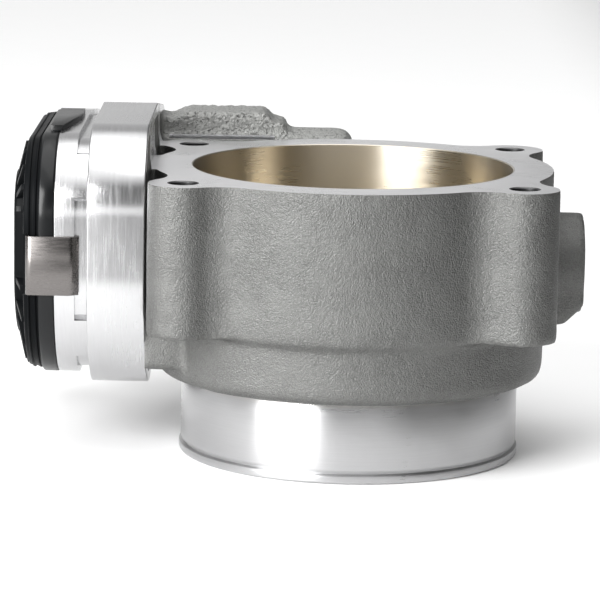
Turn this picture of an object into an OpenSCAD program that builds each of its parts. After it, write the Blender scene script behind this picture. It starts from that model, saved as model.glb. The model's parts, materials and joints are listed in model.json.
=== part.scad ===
// Drive-by-wire throttle body with a four-bolt manifold flange.
//
// Frame: the origin is the centre of the bore on the manifold flange face. +Z leaves the flange
// towards the manifold, +X runs along the throttle shaft away from the gear housing, and +Y points
// to the motor barrel. The throttle rests at its default angle, a little off closed.

/* [Bore and flange] */
// Diameter of the throttle bore
bore_d = 102; // [90:0.5:110]
// Height from the flange face to the end of the inlet neck
body_h = 91.7; // [80:0.1:120]
// Height of the cast part of the body
cast_h = 66; // [60:0.5:74]
// Width of the flange ring round the bore
flange_w = 13; // [11:0.1:15]
// How much the cast body narrows from the flange to its foot, on the radius
body_draft = 2.3; // [0:0.1:4]
// Rounding of the cast body's lower edge
foot_r = 2.5; // [1:0.1:4]

/* [Bolt ears] */
// Distance from the bore wall to the centre of a bolt hole
bolt_margin = 18.25; // [16:0.05:22]
// Direction of a bolt hole, from the shaft line
bolt_angle = 40.9; // [36:0.1:50]
// Diameter of the bolt holes
bolt_hole_d = 9; // [6.5:0.1:10.5]
// Chamfer at the mouth of the bolt holes
bolt_chamfer = 0.4; // [0:0.1:1]
// Outer radius of an ear
ear_r = 11; // [9:0.5:13]
// Depth of an ear below the flange face
ear_depth = 47.5; // [20:0.5:56]
// Rounding under an ear
ear_foot_r = 5; // [1:0.5:8]

/* [Inlet neck] */
// Wall of the neck
neck_wall = 3; // [2:0.1:5]
// Height of the bead at the end of the neck
bead_h = 3; // [2:0.1:6]
// How far the bead stands out of the neck
bead_proud = 0.5; // [0.2:0.1:2]

/* [Throttle] */
// Distance from the flange face down to the shaft
shaft_drop = 30; // [26:0.5:40]
// Diameter of the throttle shaft
shaft_d = 10; // [8:0.5:11]
// Thickness of the throttle plate
plate_t = 2.5; // [1.5:0.1:3]
// Gap between the closed plate and the bore
plate_gap = 0.15; // [0.05:0.05:0.3]
// Angle of the plate when it is closed
closed_angle = 4; // [2:0.5:8]
// Angle of the plate when it rests on its spring
rest_angle = 9; // [6:0.5:14]
// Angle of the plate when it is wide open
open_angle = 88; // [80:0.5:90]
// Thread diameter of the plate screws
plate_screw_d = 5; // [3:0.5:5]
// Distance of a plate screw from the middle of the shaft
plate_screw_x = 22; // [12:0.5:34]

/* [Shaft bearings] */
// Radial depth of the needle bearing on the gear side, from the shaft to the outside of its cup
needle_section = 2; // [1.8:0.1:3]
// Length of the needle bearing
needle_cup_w = 10; // [8:0.5:12]
// Outer diameter of the ball bearing on the far side
ball_race_d = 26; // [24:0.5:28]
// Width of the ball bearing
ball_race_w = 8; // [7:0.5:9]
// Diameter of the balls
ball_d = 4.76; // [4:0.01:5]
// Outer diameter of the shaft seals
seal_d = 16; // [15:0.5:18]
// Length of the far boss beyond the flange
boss_l = 9.9; // [8:0.1:14]
// Wall of the far boss round its bearing
boss_wall = 3; // [2.5:0.1:5]

/* [Gear train] */
// Height of the motor above the shaft
motor_rise = 9; // [4:0.5:14]
// Teeth on the motor pinion
pinion_teeth = 16; // [14:1:18]
// Teeth on the idler's large gear
idler_large_teeth = 43; // [40:1:45]
// Teeth on the idler's small gear
idler_small_teeth = 13; // [12:1:15]
// Teeth that a full circle of the sector gear would have
sector_teeth = 50; // [48:1:52]
// Backlash cut from each flank
flank_gap = 0.12; // [0.08:0.01:0.2]
// Thickness of the sector gear
sector_t = 6; // [4:0.5:6.5]
// Diameter of the idler's pin
idler_pin_d = 5; // [4:0.5:6]

/* [Motor] */
// Outer diameter of the motor's can
can_d = 36; // [32:0.5:38]
// Length of the motor's can
can_l = 69; // [60:0.5:72]
// Wall of the can
can_wall = 1.2; // [0.8:0.1:1.6]
// Wall of the cast barrel round the can
barrel_wall = 4.7; // [3.5:0.1:6]
// Diameter of the motor's shaft
rotor_shaft_d = 4; // [3:0.5:5]

/* [Gear housing] */
// Thickness of the block behind the cover's rim
block_t = 18; // [14:0.5:22]
// Width of the clip groove
groove_w = 3.8; // [3:0.1:5]
// Depth of the clip groove
groove_d = 1.8; // [1.4:0.1:2]
// Thickness of the rim that the cover sits on
rim_t = 6.3; // [5:0.1:8]
// Wall of the rim round the gear chamber
rim_wall = 3; // [3:0.1:5]
// Wall at the front of the block
front_wall = 7; // [5:0.1:10]
// Wall at the top of the rim
top_wall = 7.4; // [4:0.1:10]
// Step from the front of the rim out to the front of the block
front_step = 0.2; // [0.1:0.1:2]
// Step from the rim up to the top of the block
block_step = 2.7; // [1:0.1:5]
// Depth of the gear chamber below the cover
chamber_depth = 13.3; // [13:0.1:14]
// Radius of the block's upper front corner
block_corner_r = 27; // [20:0.5:30]

/* [Cover] */
// Thickness of the cover's flange and band
cover_band_t = 9.7; // [8:0.1:12]
// Thickness of the cover's flange
cover_flange_t = 4; // [3:0.1:5]
// Step from the flange in to the band
cover_band_step = 1; // [0.5:0.1:2]
// Height of the dome on the cover
dome_t = 3.7; // [3:0.1:6]
// Step from the flange in to the dome
dome_step = 12; // [9:0.5:14]
// Wall of the cover
cover_wall = 2.6; // [2:0.1:3]
// Angle between two ribs round the dome
rib_step = 18; // [10:1:30]
// Thickness of a rib
rib_t = 1.6; // [1:0.1:3]
// Width of a spring clip
clip_w = 18.4; // [12:0.2:20]
// Thickness of a spring clip
clip_t = 1; // [0.6:0.1:1.2]

/* [Hidden] */
$fn = 96;

// Clearances
seat = 0.02;          // pieces pressed or screwed together
run = 0.05;           // a shaft turning in a hole
air = 0.3;            // pieces that pass each other
eps = 0.5;            // overrun of a cut past a face
hair = 0.02;          // how far a tangent line dips into its circles

// Body
bore_r = bore_d / 2;
flange_r = bore_r + flange_w;
foot_body_r = flange_r - body_draft;
neck_r = bore_r + neck_wall;
bolt_r = bore_r + bolt_margin;
bolt_x = bolt_r * cos(bolt_angle);
bolt_y = bolt_r * sin(bolt_angle);
ear_at = [[bolt_x, bolt_y], [-bolt_x, bolt_y], [-bolt_x, -bolt_y], [bolt_x, -bolt_y]];
shaft_r = shaft_d / 2;
shaft_z = -shaft_drop;

// Places in the Y-Z plane, as [y, z]
shaft_c = [0, shaft_z];
motor_bore_r = can_d / 2 + air;
barrel_r = motor_bore_r + barrel_wall;
motor_c = [bore_r + 3 + barrel_r, shaft_z + motor_rise];
reach = norm(motor_c - shaft_c);
train_teeth = pinion_teeth + idler_large_teeth + idler_small_teeth + sector_teeth;
gear_m = 2 * reach / train_teeth;
sector_reach = gear_m * (idler_small_teeth + sector_teeth) / 2;
mesh_angle = atan2(motor_c.y - shaft_c.y, motor_c.x - shaft_c.x);
idler_c = shaft_c + sector_reach * [cos(mesh_angle), sin(mesh_angle)];

// Gears
tall_tooth = 1;       // addendum of the small gears, in modules
short_tooth = 0.8;    // addendum of the large gears, in modules
tooth_root = 1.2;     // dedendum, in modules
pressure_angle = 20;
sector_tip = gear_m * (sector_teeth / 2 + short_tooth);
idler_tip = gear_m * (idler_large_teeth / 2 + short_tooth);
pitch_step = 360 / sector_teeth;
travel_low = closed_angle - rest_angle;
travel_high = open_angle - rest_angle;
first_tooth = -ceil((travel_high + 10) / pitch_step);
last_tooth = ceil((10 - travel_low) / pitch_step);
sector_low = mesh_angle + (first_tooth - 0.5) * pitch_step;
sector_high = mesh_angle + (last_tooth + 0.5) * pitch_step;

// Gear housing, in X
block_x1 = -flange_r - 0.2;
block_x0 = block_x1 - block_t;
groove_x = block_x0 - groove_w;
joint_x = groove_x - rim_t;
floor_x = joint_x + chamber_depth;
pocket_x = floor_x + 11;
sector_x = floor_x - 1;
large_x = sector_x - sector_t - 1;
large_t = 4;
hub_x = large_x - large_t - air;
hub_r = 8;
band_x = joint_x - cover_band_t;
dome_x = band_x - dome_t;

// Gear housing outlines: circles [y, z, r] that an outline is drawn round, anticlockwise
chamber_shaft_r = sector_tip + 0.7;
chamber_idler_r = idler_tip + 1;
chamber_motor_r = can_d / 2 + 7;
block_r = chamber_shaft_r + front_wall;
rim_r = chamber_shaft_r + rim_wall + 0.5;
rim_front = block_r - front_step;
rim_top = idler_c.y + chamber_idler_r + top_wall;
block_top = rim_top + block_step;
corner_back_r = 8;
chamber_outline = [
    [shaft_c.x, shaft_c.y, chamber_shaft_r],
    [idler_c.x, idler_c.y, chamber_idler_r],
    [motor_c.x, motor_c.y, chamber_motor_r]
];
block_outline = [
    [block_corner_r - block_r, block_top - block_corner_r, block_corner_r],
    [shaft_c.x, shaft_c.y, block_r],
    [motor_c.x, motor_c.y, chamber_motor_r + rim_wall + 2],
    [idler_c.x, block_top - corner_back_r, corner_back_r]
];
rim_corner_r = block_corner_r - 2;
rim_outline = [
    [rim_corner_r - rim_front, rim_top - rim_corner_r, rim_corner_r],
    [rim_r - rim_front, shaft_c.y, rim_r],
    [motor_c.x, motor_c.y, chamber_motor_r + rim_wall],
    [idler_c.x, rim_top - corner_back_r, corner_back_r]
];
dome_outline = [for (i = [0 : 2]) [rim_outline[i].x, rim_outline[i].y, rim_outline[i].z - dome_step]];

// Motor
can_r = can_d / 2;
can_x0 = floor_x + 0.1;
can_x1 = can_x0 + can_l;
rotor_r = rotor_shaft_d / 2;
magnet_r = can_r - can_wall - seat;
terminal_at = polar(can_r - 3.58, 33.69);
brush_holder_end = can_r - 4.3;
armature_r = magnet_r - 3.1;
armature_x0 = can_x0 + 19;
armature_x1 = can_x1 - 15;
commutator_x0 = can_x0 + 7;
commutator_r = 5.2;
barrel_x1 = can_x1 + 10.4;
end_boss_r = 6.2;
end_boss_l = 3.4;

// Far side of the shaft
boss_r = ball_race_d / 2 + boss_wall;
boss_x = flange_r + boss_l;
race_x = boss_x - 5.9 - ball_race_w;
race_seat_r = ball_race_d / 2 + seat;
seal_l = 3;
seal_x = race_x - 4;
ball_ring_r = (ball_race_d / 2 + shaft_r) / 2;
ball_r = ball_d / 2;
ball_count = 7;
ball_x = race_x + ball_race_w / 2;

// Gear side of the shaft
cup_r = shaft_r + needle_section;
cup_wall = 0.5;
needle_gap = cup_r - cup_wall - shaft_r;
needle_r = needle_gap / 2 - 0.03;
needle_ring_r = shaft_r + needle_gap / 2;
needle_count = 14;
spigot_r = cup_r + seat + 2.6;
spigot_x = floor_x + 2;
cup_x = spigot_x + 1;
gear_seal_x = -bore_r - 3 - seal_l;

// Return spring
spring_wire = 2;
spring_r = 16.5;
spring_turns = 3.5;
spring_x0 = floor_x + 1.7;
spring_x1 = pocket_x - 1.7;
spring_pocket_r = spring_r + spring_wire / 2 + 2.3;

// ---- Helpers -------------------------------------------------------------------------------

function polar(r, a) = [r * cos(a), r * sin(a)];

// The two points where the outer tangent of circles a and b touches them, a hair inside so that
// the line cuts both circles cleanly
function tangent(a, b) =
    let (d = [b.x - a.x, b.y - a.y])
    let (t = atan2(d.y, d.x) - acos((a.z - b.z) / norm(d)))
    [[a.x, a.y] + polar(a.z - hair, t), [b.x, b.y] + polar(b.z - hair, t)];

function grown(outline, by) = [for (c = outline) [c.x, c.y, c.z + by]];

// An outline drawn tightly round a ring of circles
module round_outline(outline) {
    n = len(outline);
    for (c = outline) translate([c.x, c.y]) circle(c.z);
    polygon([for (i = [0 : n - 1]) each tangent(outline[i], outline[(i + 1) % n])]);
}

// Extrudes a [y, z] shape along X
module slab(x0, x1) {
    translate([x0, 0, 0]) rotate([90, 0, 90]) linear_extrude(x1 - x0) children();
}

module rod(x0, x1, c, r) {
    translate([x0, c.x, c.y]) rotate([0, 90, 0]) cylinder(r = r, h = x1 - x0);
}

// Turns an [r, x] shape round a line along X
module turned(c) {
    translate([0, c.x, c.y]) rotate([0, 90, 0]) rotate_extrude() children();
}

module ring(x0, x1, c, r_in, r_out) {
    turned(c) translate([r_in, x0]) square([r_out - r_in, x1 - x0]);
}

// Turns what it holds about the shaft, from plate angle 0
module tilted(a) {
    translate([0, 0, shaft_z]) rotate([a, 0, 0]) children();
}

function involute(r, base) = let (a = acos(min(1, base / r))) tan(a) * 180 / PI - a;

function half_tooth(r, teeth, m) =
    let (pitch = m * teeth / 2)
    let (base = pitch * cos(pressure_angle))
    90 / teeth + involute(pitch, base) - involute(r, base) - flank_gap / pitch * 180 / PI;

// One tooth's outline, anticlockwise, at angle a
function tooth(a, teeth, m, addendum) =
    let (pitch = m * teeth / 2)
    let (root = pitch - tooth_root * m)
    let (start = max(root, pitch * cos(pressure_angle)))
    let (tip = pitch + addendum * m)
    let (radii = [for (k = [0 : 4]) start + (tip - start) * k / 4])
    concat(
        [polar(root, a - half_tooth(start, teeth, m))],
        [for (r = radii) polar(r, a - half_tooth(r, teeth, m))],
        [for (k = [4 : -1 : 0]) polar(radii[k], a + half_tooth(radii[k], teeth, m))],
        [polar(root, a + half_tooth(start, teeth, m))]
    );

module gear(teeth, m, addendum, a) {
    polygon([for (i = [0 : teeth - 1]) each tooth(a + i * 360 / teeth, teeth, m, addendum)]);
}

// A clip's place on the rim: a point and the direction of its outward normal
function on_rim(i, share) =
    let (pair = tangent(rim_outline[i], rim_outline[(i + 1) % len(rim_outline)]))
    let (d = pair[1] - pair[0])
    [pair[0] + d * share, atan2(d.y, d.x) - 90];

front_clip = [[-rim_front, shaft_z + 2.7], 180];
back_clip = [[rim_outline[2].x + rim_outline[2].z, motor_c.y], 0];
clip_places = [front_clip, on_rim(1, 0.08), on_rim(1, 0.6), back_clip];

// Puts what it holds at a clip's place, with local Y along the outward normal
module at_clip(place) {
    translate([0, place[0].x, place[0].y]) rotate([place[1], 0, 0]) children();
}

// ---- Casting -------------------------------------------------------------------------------

module ear(at) {
    inner_r = 20;
    inner = at - (ear_r + 14) * at / norm(at);
    a = [at.x, at.y, ear_r];
    b = [inner.x, inner.y, inner_r];
    translate([at.x, at.y, 0]) rotate_extrude() difference() {
        translate([0, -ear_depth]) square([ear_r, ear_depth]);
        translate([ear_r - ear_foot_r, -ear_depth]) difference() {
            square(ear_foot_r);
            translate([0, ear_foot_r]) circle(ear_foot_r);
        }
    }
    translate([0, 0, -ear_depth + ear_foot_r]) linear_extrude(ear_depth - ear_foot_r)
        polygon(concat(tangent(a, b), tangent(b, a)));
}

module bore_body() {
    rotate_extrude() {
        polygon(concat(
            [[0, 0], [flange_r, 0]],
            [for (a = [0 : 22.5 : 90]) [foot_body_r - foot_r, foot_r - cast_h] + foot_r * [cos(a), -sin(a)]],
            [[0, -cast_h]]
        ));
        translate([0, -body_h]) square([neck_r, body_h - cast_h + foot_r]);
        translate([0, -body_h]) square([neck_r + bead_proud, bead_h]);
    }
    for (at = ear_at) ear(at);
}

// Boss for the far bearing, on a foot with a sloping end
module far_boss() {
    foot_w = boss_r - 2;
    foot_z = shaft_z - boss_r - 2.3;
    slope = 6.4;
    rod(bore_r + 2, boss_x, shaft_c, boss_r);
    translate([0, foot_w, 0]) rotate([90, 0, 0]) linear_extrude(2 * foot_w) polygon([
        [bore_r + 2, shaft_z], [boss_x, shaft_z], [boss_x, foot_z + slope],
        [boss_x - slope, foot_z], [bore_r + 2, foot_z]
    ]);
}

// Barrel round the motor, with a cast pad along its top
module barrel() {
    pad_x0 = block_x1 + 4.5;
    pad_top = motor_c.y + barrel_r + 6;
    nose_r = 5;
    turned(motor_c) polygon(concat(
        [[0, block_x1 - eps], [barrel_r, block_x1 - eps]],
        [for (a = [0 : 15 : 90]) [barrel_r - nose_r, barrel_x1 - nose_r] + nose_r * [cos(a), sin(a)]],
        [[0, barrel_x1]]
    ));
    translate([0, motor_c.x + 11, 0]) rotate([90, 0, 0]) linear_extrude(20) polygon([
        [block_x1 - eps, motor_c.y], [block_x1 - eps, pad_top - 2], [pad_x0, pad_top - 2],
        [pad_x0 + 2.5, pad_top], [pad_x0 + 30, pad_top], [pad_x0 + 34, pad_top - 3.4],
        [pad_x0 + 36.5, pad_top - 3.4], [pad_x0 + 38, pad_top - 6.5], [pad_x0 + 38, motor_c.y]
    ]);
}

// Webs that tie the gear housing and the barrel to the bore body
module webs() {
    web_low = shaft_z - 31;
    translate([block_x1 - eps, -34, web_low]) cube([20, 88, -web_low - 5]);
    translate([block_x1 - eps, -9, -6]) cube([8, 18, 6]);
    translate([block_x1 - eps, 30, motor_c.y - 14]) cube([barrel_x1 - block_x1 - 12, motor_c.x - 30, 22]);
}

module clip_groove() {
    bridge_y = -block_r - eps;
    difference() {
        slab(groove_x, block_x0) difference() {
            round_outline(grown(rim_outline, 8));
            round_outline(grown(rim_outline, -groove_d));
        }
        translate([groove_x - 1, bridge_y, shaft_z + 23.4]) cube([groove_w + 2, 22, 10.6]);
        translate([groove_x - 1, bridge_y, shaft_z - 28]) cube([groove_w + 2, 26, 13]);
    }
}

module housing() {
    slab(block_x0, block_x1) round_outline(block_outline);
    difference() {
        slab(joint_x, block_x0 + eps) round_outline(rim_outline);
        clip_groove();
    }
}

// Lugs that stop the sector gear, one with the closed stop's screw in it
module stop_lugs() {
    lug_x = sector_x - sector_t - 1;
    lug_l = floor_x - lug_x + eps;
    lug_r = chamber_shaft_r - 10;
    tilted(sector_low + travel_low) translate([lug_x, lug_r, -13]) cube([lug_l, 11, 6]);
    tilted(sector_high + travel_high) translate([lug_x, lug_r, air]) cube([lug_l, 11, 6]);
}

stop_screw_x = sector_x - sector_t / 2;
stop_screw_at = [stop_screw_x, chamber_shaft_r - 5.5];

module stop_screw_place() {
    tilted(sector_low + travel_low) translate([stop_screw_at.x, stop_screw_at.y, 0]) children();
}

module housing_cuts() {
    difference() {
        slab(joint_x - eps, floor_x) round_outline(chamber_outline);
        stop_lugs();
    }
    difference() {
        rod(floor_x - eps, pocket_x, shaft_c, spring_pocket_r);
        rod(spigot_x, pocket_x + eps, shaft_c, spigot_r);
    }
    rod(spigot_x - eps, -bore_r - 3, shaft_c, cup_r + seat);
    rod(floor_x - eps, can_x1 + 1.5, motor_c, motor_bore_r);
    rod(can_x1, can_x1 + end_boss_l + 1.6, motor_c, end_boss_r + air);
    rod(floor_x - eps, floor_x + 8, idler_c, idler_pin_d / 2 + seat);
    slab(joint_x - eps, joint_x + 1.2) difference() {
        round_outline(grown(chamber_outline, 2.2));
        round_outline(grown(chamber_outline, 1));
    }
    for (a = [1, -1]) rod(floor_x - eps, floor_x + 8, motor_screw_c(a), 1.5 + seat);
    stop_screw_place() translate([0, 0, -16]) cylinder(r = 2 + seat, h = 16);
    rod(pocket_x - eps, pocket_x + 2.2, shaft_c + polar(spring_r, 200), spring_wire / 2 + air);
}

function motor_screw_c(side) = motor_c + [0, side * (can_r + 3)];

module throttle_casting() {
    color("silver") difference() {
        union() {
            bore_body();
            far_boss();
            housing();
            barrel();
            webs();
        }
        translate([0, 0, -body_h - eps]) cylinder(r = bore_r, h = body_h + 2 * eps, $fn = 192);
        cylinder(r = flange_r, h = 2 * barrel_r);
        rod(-bore_r - 4, race_x, shaft_c, shaft_r + 0.2);
        rod(seal_x, race_x + eps, shaft_c, seal_d / 2 + seat);
        rod(race_x, boss_x + eps, shaft_c, race_seat_r);
        for (at = ear_at) translate([at.x, at.y, 0]) rotate_extrude() polygon([
            [0, -cast_h - eps], [bolt_hole_d / 2, -cast_h - eps], [bolt_hole_d / 2, -bolt_chamfer],
            [bolt_hole_d / 2 + bolt_chamfer + eps, eps], [0, eps]
        ]);
        housing_cuts();
    }
}

// ---- Cover ---------------------------------------------------------------------------------

idler_boss_r = idler_pin_d / 2 + 3;
connector_w = 32;
connector_y0 = motor_c.x - connector_w / 2;
connector_wall = 2;
connector_mouth = 15;
connector_low = motor_c.y - chamber_motor_r - rim_wall - 19;
connector_x0 = band_x - 2.9;
connector_t = joint_x - connector_x0 - 1;
pin_count = 6;
pin_pitch = 4;
pin_x = connector_x0 + connector_t / 2;
pin_tip = connector_low + 4;
pin_l = motor_c.y - chamber_motor_r + 1.6 - pin_tip;
pin_t = 0.8;
pin_w = 1.5;

module cover_shell() {
    slab(joint_x - cover_flange_t, joint_x) round_outline(rim_outline);
    slab(band_x, joint_x) round_outline(grown(rim_outline, -cover_band_step));
    slab(dome_x, joint_x) round_outline(dome_outline);
    translate([connector_x0, connector_y0, connector_low])
        cube([connector_t, connector_w, motor_c.y - 10 - connector_low]);
}

// A sloping rib from the cover's band up to its dome, at angle a of one of the outline's circles
module rib(corner, a) {
    foot = corner.z - cover_band_step - 1;
    head = corner.z - dome_step;
    translate([0, corner.x, corner.y]) rotate([a, 0, 0]) translate([0, 0, -rib_t / 2])
        linear_extrude(rib_t) polygon([
            [dome_x + eps, head + hair], [dome_x + eps, head - 1], [band_x + eps, head - 1],
            [band_x + eps, foot], [band_x, foot]
        ]);
}

module cover_ribs() {
    for (a = [99 : rib_step : 171]) rib(rim_outline[0], a);
    for (a = [189 : rib_step : 279]) rib(rim_outline[1], a);
    for (a = [-72 : rib_step : 54]) rib(rim_outline[2], a);
}

module gear_cover() {
    color([0.08, 0.08, 0.09]) difference() {
        union() {
            cover_shell();
            cover_ribs();
            rod(band_x, large_x - large_t - air, idler_c, idler_boss_r);
        }
        difference() {
            union() {
                slab(band_x + cover_wall, joint_x + eps) round_outline(grown(chamber_outline, -1));
                slab(dome_x + cover_wall, band_x + cover_wall + eps) round_outline(grown(dome_outline, -3));
            }
            rod(dome_x, large_x - large_t - air, idler_c, idler_boss_r);
        }
        rod(band_x + cover_wall + 1, large_x, idler_c, idler_pin_d / 2 + run);
        for (place = clip_places) at_clip(place) translate([band_x - dome_t - eps, -4.2, -clip_w / 2 - air])
            cube([dome_t + 2 + eps, 10, clip_w + 2 * air]);
        translate([connector_x0 + connector_wall, connector_y0 + connector_wall, connector_low - eps])
            cube([
                connector_t - 2 * connector_wall, connector_w - 2 * connector_wall, connector_mouth + eps
            ]);
        for (i = [0 : pin_count - 1]) pin_place(i) pin_shape(0.1, pin_l + eps);
        for (side = [1, -1]) terminal_place(side) translate([band_x + 1, -3.3, -0.7]) cube([20, 6.6, 1.4]);
    }
}

module cover_clips() {
    strap_y = 0.1;
    foot_x = groove_x + 0.1;
    head_x = band_x + 2 - air / 2;
    color([0.75, 0.75, 0.74]) for (place = clip_places) at_clip(place) {
        translate([head_x - clip_t, strap_y, -clip_w / 2])
            cube([foot_x + 2 * clip_t - head_x, clip_t, clip_w]);
        translate([head_x - clip_t, -3.5, -clip_w / 2]) cube([clip_t, 3.5 + clip_t, clip_w]);
        translate([foot_x, -1.4, -clip_w / 2]) cube([clip_t, 1.4 + clip_t, clip_w]);
    }
}

module cover_gasket() {
    color([0.12, 0.12, 0.13]) slab(joint_x + 0.01, joint_x + 1.19) difference() {
        round_outline(grown(chamber_outline, 2.18));
        round_outline(grown(chamber_outline, 1.02));
    }
}

// ---- Throttle ------------------------------------------------------------------------------

module screw_cuts(r) {
    for (x = [plate_screw_x, -plate_screw_x]) translate([x, 0, -shaft_d]) cylinder(r = r, h = 2 * shaft_d);
}

module throttle_shaft() {
    head_flat = shaft_r - 1;
    color([0.7, 0.68, 0.62]) difference() {
        rod(hub_x, race_x + ball_race_w + 1.6, shaft_c, shaft_r);
        tilted(rest_angle) {
            translate([-bore_r - 0.3, -shaft_d, -plate_t / 2 - 0.03])
                cube([bore_d + 0.6, 2 * shaft_d, plate_t + 0.06]);
            screw_cuts(plate_screw_d / 2 + seat);
            for (x = [plate_screw_x, -plate_screw_x]) translate([x, 0, head_flat])
                cylinder(r = 4.6, h = shaft_d);
        }
        ring(race_x + ball_race_w + 0.3, race_x + ball_race_w + 1.1, shaft_c, shaft_r - 0.6, shaft_r + 1);
    }
}

module throttle_plate() {
    color([0.8, 0.76, 0.62]) difference() {
        tilted(rest_angle - closed_angle) translate([0, 0, -shaft_z]) intersection() {
            translate([0, 0, -body_h]) cylinder(r = bore_r - plate_gap, h = body_h, $fn = 192);
            tilted(closed_angle) cube([bore_d + 2, bore_d + 2, plate_t], center = true);
        }
        tilted(rest_angle) screw_cuts(plate_screw_d / 2 + seat);
    }
}

module plate_screws() {
    color([0.55, 0.55, 0.56]) tilted(rest_angle)
        for (x = [plate_screw_x, -plate_screw_x]) translate([x, 0, 0]) difference() {
            union() {
                translate([0, 0, -shaft_r]) cylinder(r = plate_screw_d / 2, h = 2 * shaft_r - 1 + 0.5);
                translate([0, 0, shaft_r - 1 + seat]) cylinder(r = 4.3, h = 2.4);
            }
            translate([0, 0, shaft_r]) cylinder(r = 1.6, h = 3, $fn = 6);
        }
}

// ---- Shaft bearings ------------------------------------------------------------------------

module needle_bearing_cup() {
    color([0.6, 0.6, 0.62]) turned(shaft_c) polygon([
        [cup_r, cup_x], [cup_r, cup_x + needle_cup_w], [shaft_r + 0.4, cup_x + needle_cup_w],
        [shaft_r + 0.4, cup_x + needle_cup_w - cup_wall],
        [cup_r - cup_wall, cup_x + needle_cup_w - cup_wall],
        [cup_r - cup_wall, cup_x + cup_wall], [shaft_r + 0.4, cup_x + cup_wall], [shaft_r + 0.4, cup_x]
    ]);
}

module needles(r, shorten) {
    for (i = [0 : needle_count - 1])
        rod(cup_x + 1 + shorten, cup_x + needle_cup_w - 1 - shorten,
            shaft_c + polar(needle_ring_r, i * 360 / needle_count), r);
}

module bearing_needles() {
    color([0.8, 0.8, 0.82]) needles(needle_r, 0.1);
}

module needle_cage() {
    color([0.5, 0.45, 0.3]) difference() {
        ring(cup_x + 0.7, cup_x + needle_cup_w - 0.7, shaft_c, needle_ring_r - 0.35, needle_ring_r + 0.35);
        needles(needle_r + 0.04, 0.05);
    }
}

race_gap = 1.6;

module ball_groove() {
    translate([ball_ring_r, ball_x]) circle(ball_r + 0.06);
}

module ball_bearing_outer() {
    color([0.72, 0.72, 0.74]) turned(shaft_c) difference() {
        translate([ball_ring_r + race_gap, race_x + 0.02])
            square([ball_race_d / 2 - ball_ring_r - race_gap, ball_race_w]);
        ball_groove();
    }
}

module ball_bearing_inner() {
    color([0.72, 0.72, 0.74]) turned(shaft_c) difference() {
        translate([shaft_r + seat, race_x + 0.02])
            square([ball_ring_r - race_gap - shaft_r - seat, ball_race_w]);
        ball_groove();
    }
}

module ball_ring(r) {
    for (i = [0 : ball_count - 1]) translate([ball_x, 0, shaft_z])
        rotate([i * 360 / ball_count, 0, 0]) translate([0, ball_ring_r, 0]) sphere(r, $fn = 48);
}

module bearing_balls() {
    color([0.85, 0.85, 0.86]) ball_ring(ball_r);
}

module ball_cage() {
    color([0.55, 0.45, 0.25]) difference() {
        ring(ball_x - 2.8, ball_x + 2.8, shaft_c, ball_ring_r - 0.5, ball_ring_r + 0.5);
        for (i = [0 : ball_count - 1])
            translate([ball_x, 0, shaft_z]) rotate([i * 360 / ball_count - 90, 0, 0])
            cylinder(r = ball_r + 0.08, h = ball_ring_r + 2);
    }
}

module bearing_shields() {
    color([0.65, 0.65, 0.66]) for (x = [race_x + 0.3, race_x + ball_race_w - 0.7])
        ring(x, x + 0.4, shaft_c, ball_ring_r - race_gap + 0.2, ball_ring_r + race_gap - seat);
}

module shaft_seals() {
    color([0.1, 0.1, 0.1]) {
        ring(gear_seal_x, gear_seal_x + seal_l, shaft_c, shaft_r + run, cup_r);
        ring(seal_x + 0.2, seal_x + 0.2 + seal_l, shaft_c, shaft_r + run, seal_d / 2);
    }
}

module shaft_end_plug() {
    plug_t = 2.2;
    x = boss_x - plug_t - 1.2;
    color([0.6, 0.6, 0.6]) difference() {
        rod(x, x + plug_t, shaft_c, ball_race_d / 2);
        rod(x + 1.2, x + plug_t + eps, shaft_c, ball_race_d / 2 - 1.2);
    }
}

module shaft_circlip() {
    x = race_x + ball_race_w + 0.35;
    color([0.3, 0.3, 0.32]) difference() {
        ring(x, x + 0.7, shaft_c, shaft_r - 0.55, shaft_r + 1.2);
        translate([x - eps, 0, shaft_z - 1.5]) cube([2, shaft_d, 3]);
    }
}

// ---- Gears ---------------------------------------------------------------------------------

module sector_gear() {
    root = gear_m * (sector_teeth / 2 - tooth_root);
    color([0.85, 0.83, 0.76]) difference() {
        union() {
            slab(sector_x - sector_t, sector_x) translate(shaft_c) polygon(concat(
                [[0, 0], polar(root, sector_low)],
                [for (k = [first_tooth : last_tooth])
                    each tooth(mesh_angle + k * pitch_step, sector_teeth, gear_m, short_tooth)],
                [polar(root, sector_high)]
            ));
            rod(hub_x, sector_x + 1.6, shaft_c, hub_r);
        }
        rod(hub_x - eps, sector_x + 3, shaft_c, shaft_r + seat);
        rod(sector_x - sector_t - eps, sector_x + eps, shaft_c + polar(spring_r, spring_end_angle),
            spring_wire / 2 + air);
    }
}

module sensor_rotor() {
    color([0.75, 0.73, 0.7]) slab(hub_x - 2, hub_x - seat) translate(shaft_c) difference() {
        union() {
            circle(8);
            for (a = [0 : 90 : 270]) rotate(a) translate([0, -2.5]) square([11.5, 5]);
        }
        circle(3);
    }
}

spring_end_angle = 200 - spring_turns * 360;

// Coil of the return spring: rings of points along a helix
module spring_coil() {
    sides = 8;
    rings = 84;
    points = [for (i = [0 : rings]) let (a = 200 - spring_turns * 360 * i / rings)
        for (k = [0 : sides - 1]) let (b = k * 360 / sides)
            let (p = polar(spring_r + cos(b) * spring_wire / 2, a))
            [spring_x1 + (spring_x0 - spring_x1) * i / rings + sin(b) * spring_wire / 2, p.x, p.y + shaft_z]];
    sleeves = [for (i = [0 : rings - 1]) for (k = [0 : sides - 1])
        let (n = (k + 1) % sides)
        [i * sides + k, (i + 1) * sides + k, (i + 1) * sides + n, i * sides + n]];
    polyhedron(points, concat(
        [[for (k = [0 : sides - 1]) k]],
        sleeves,
        [[for (k = [sides - 1 : -1 : 0]) rings * sides + k]]
    ));
}

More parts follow.
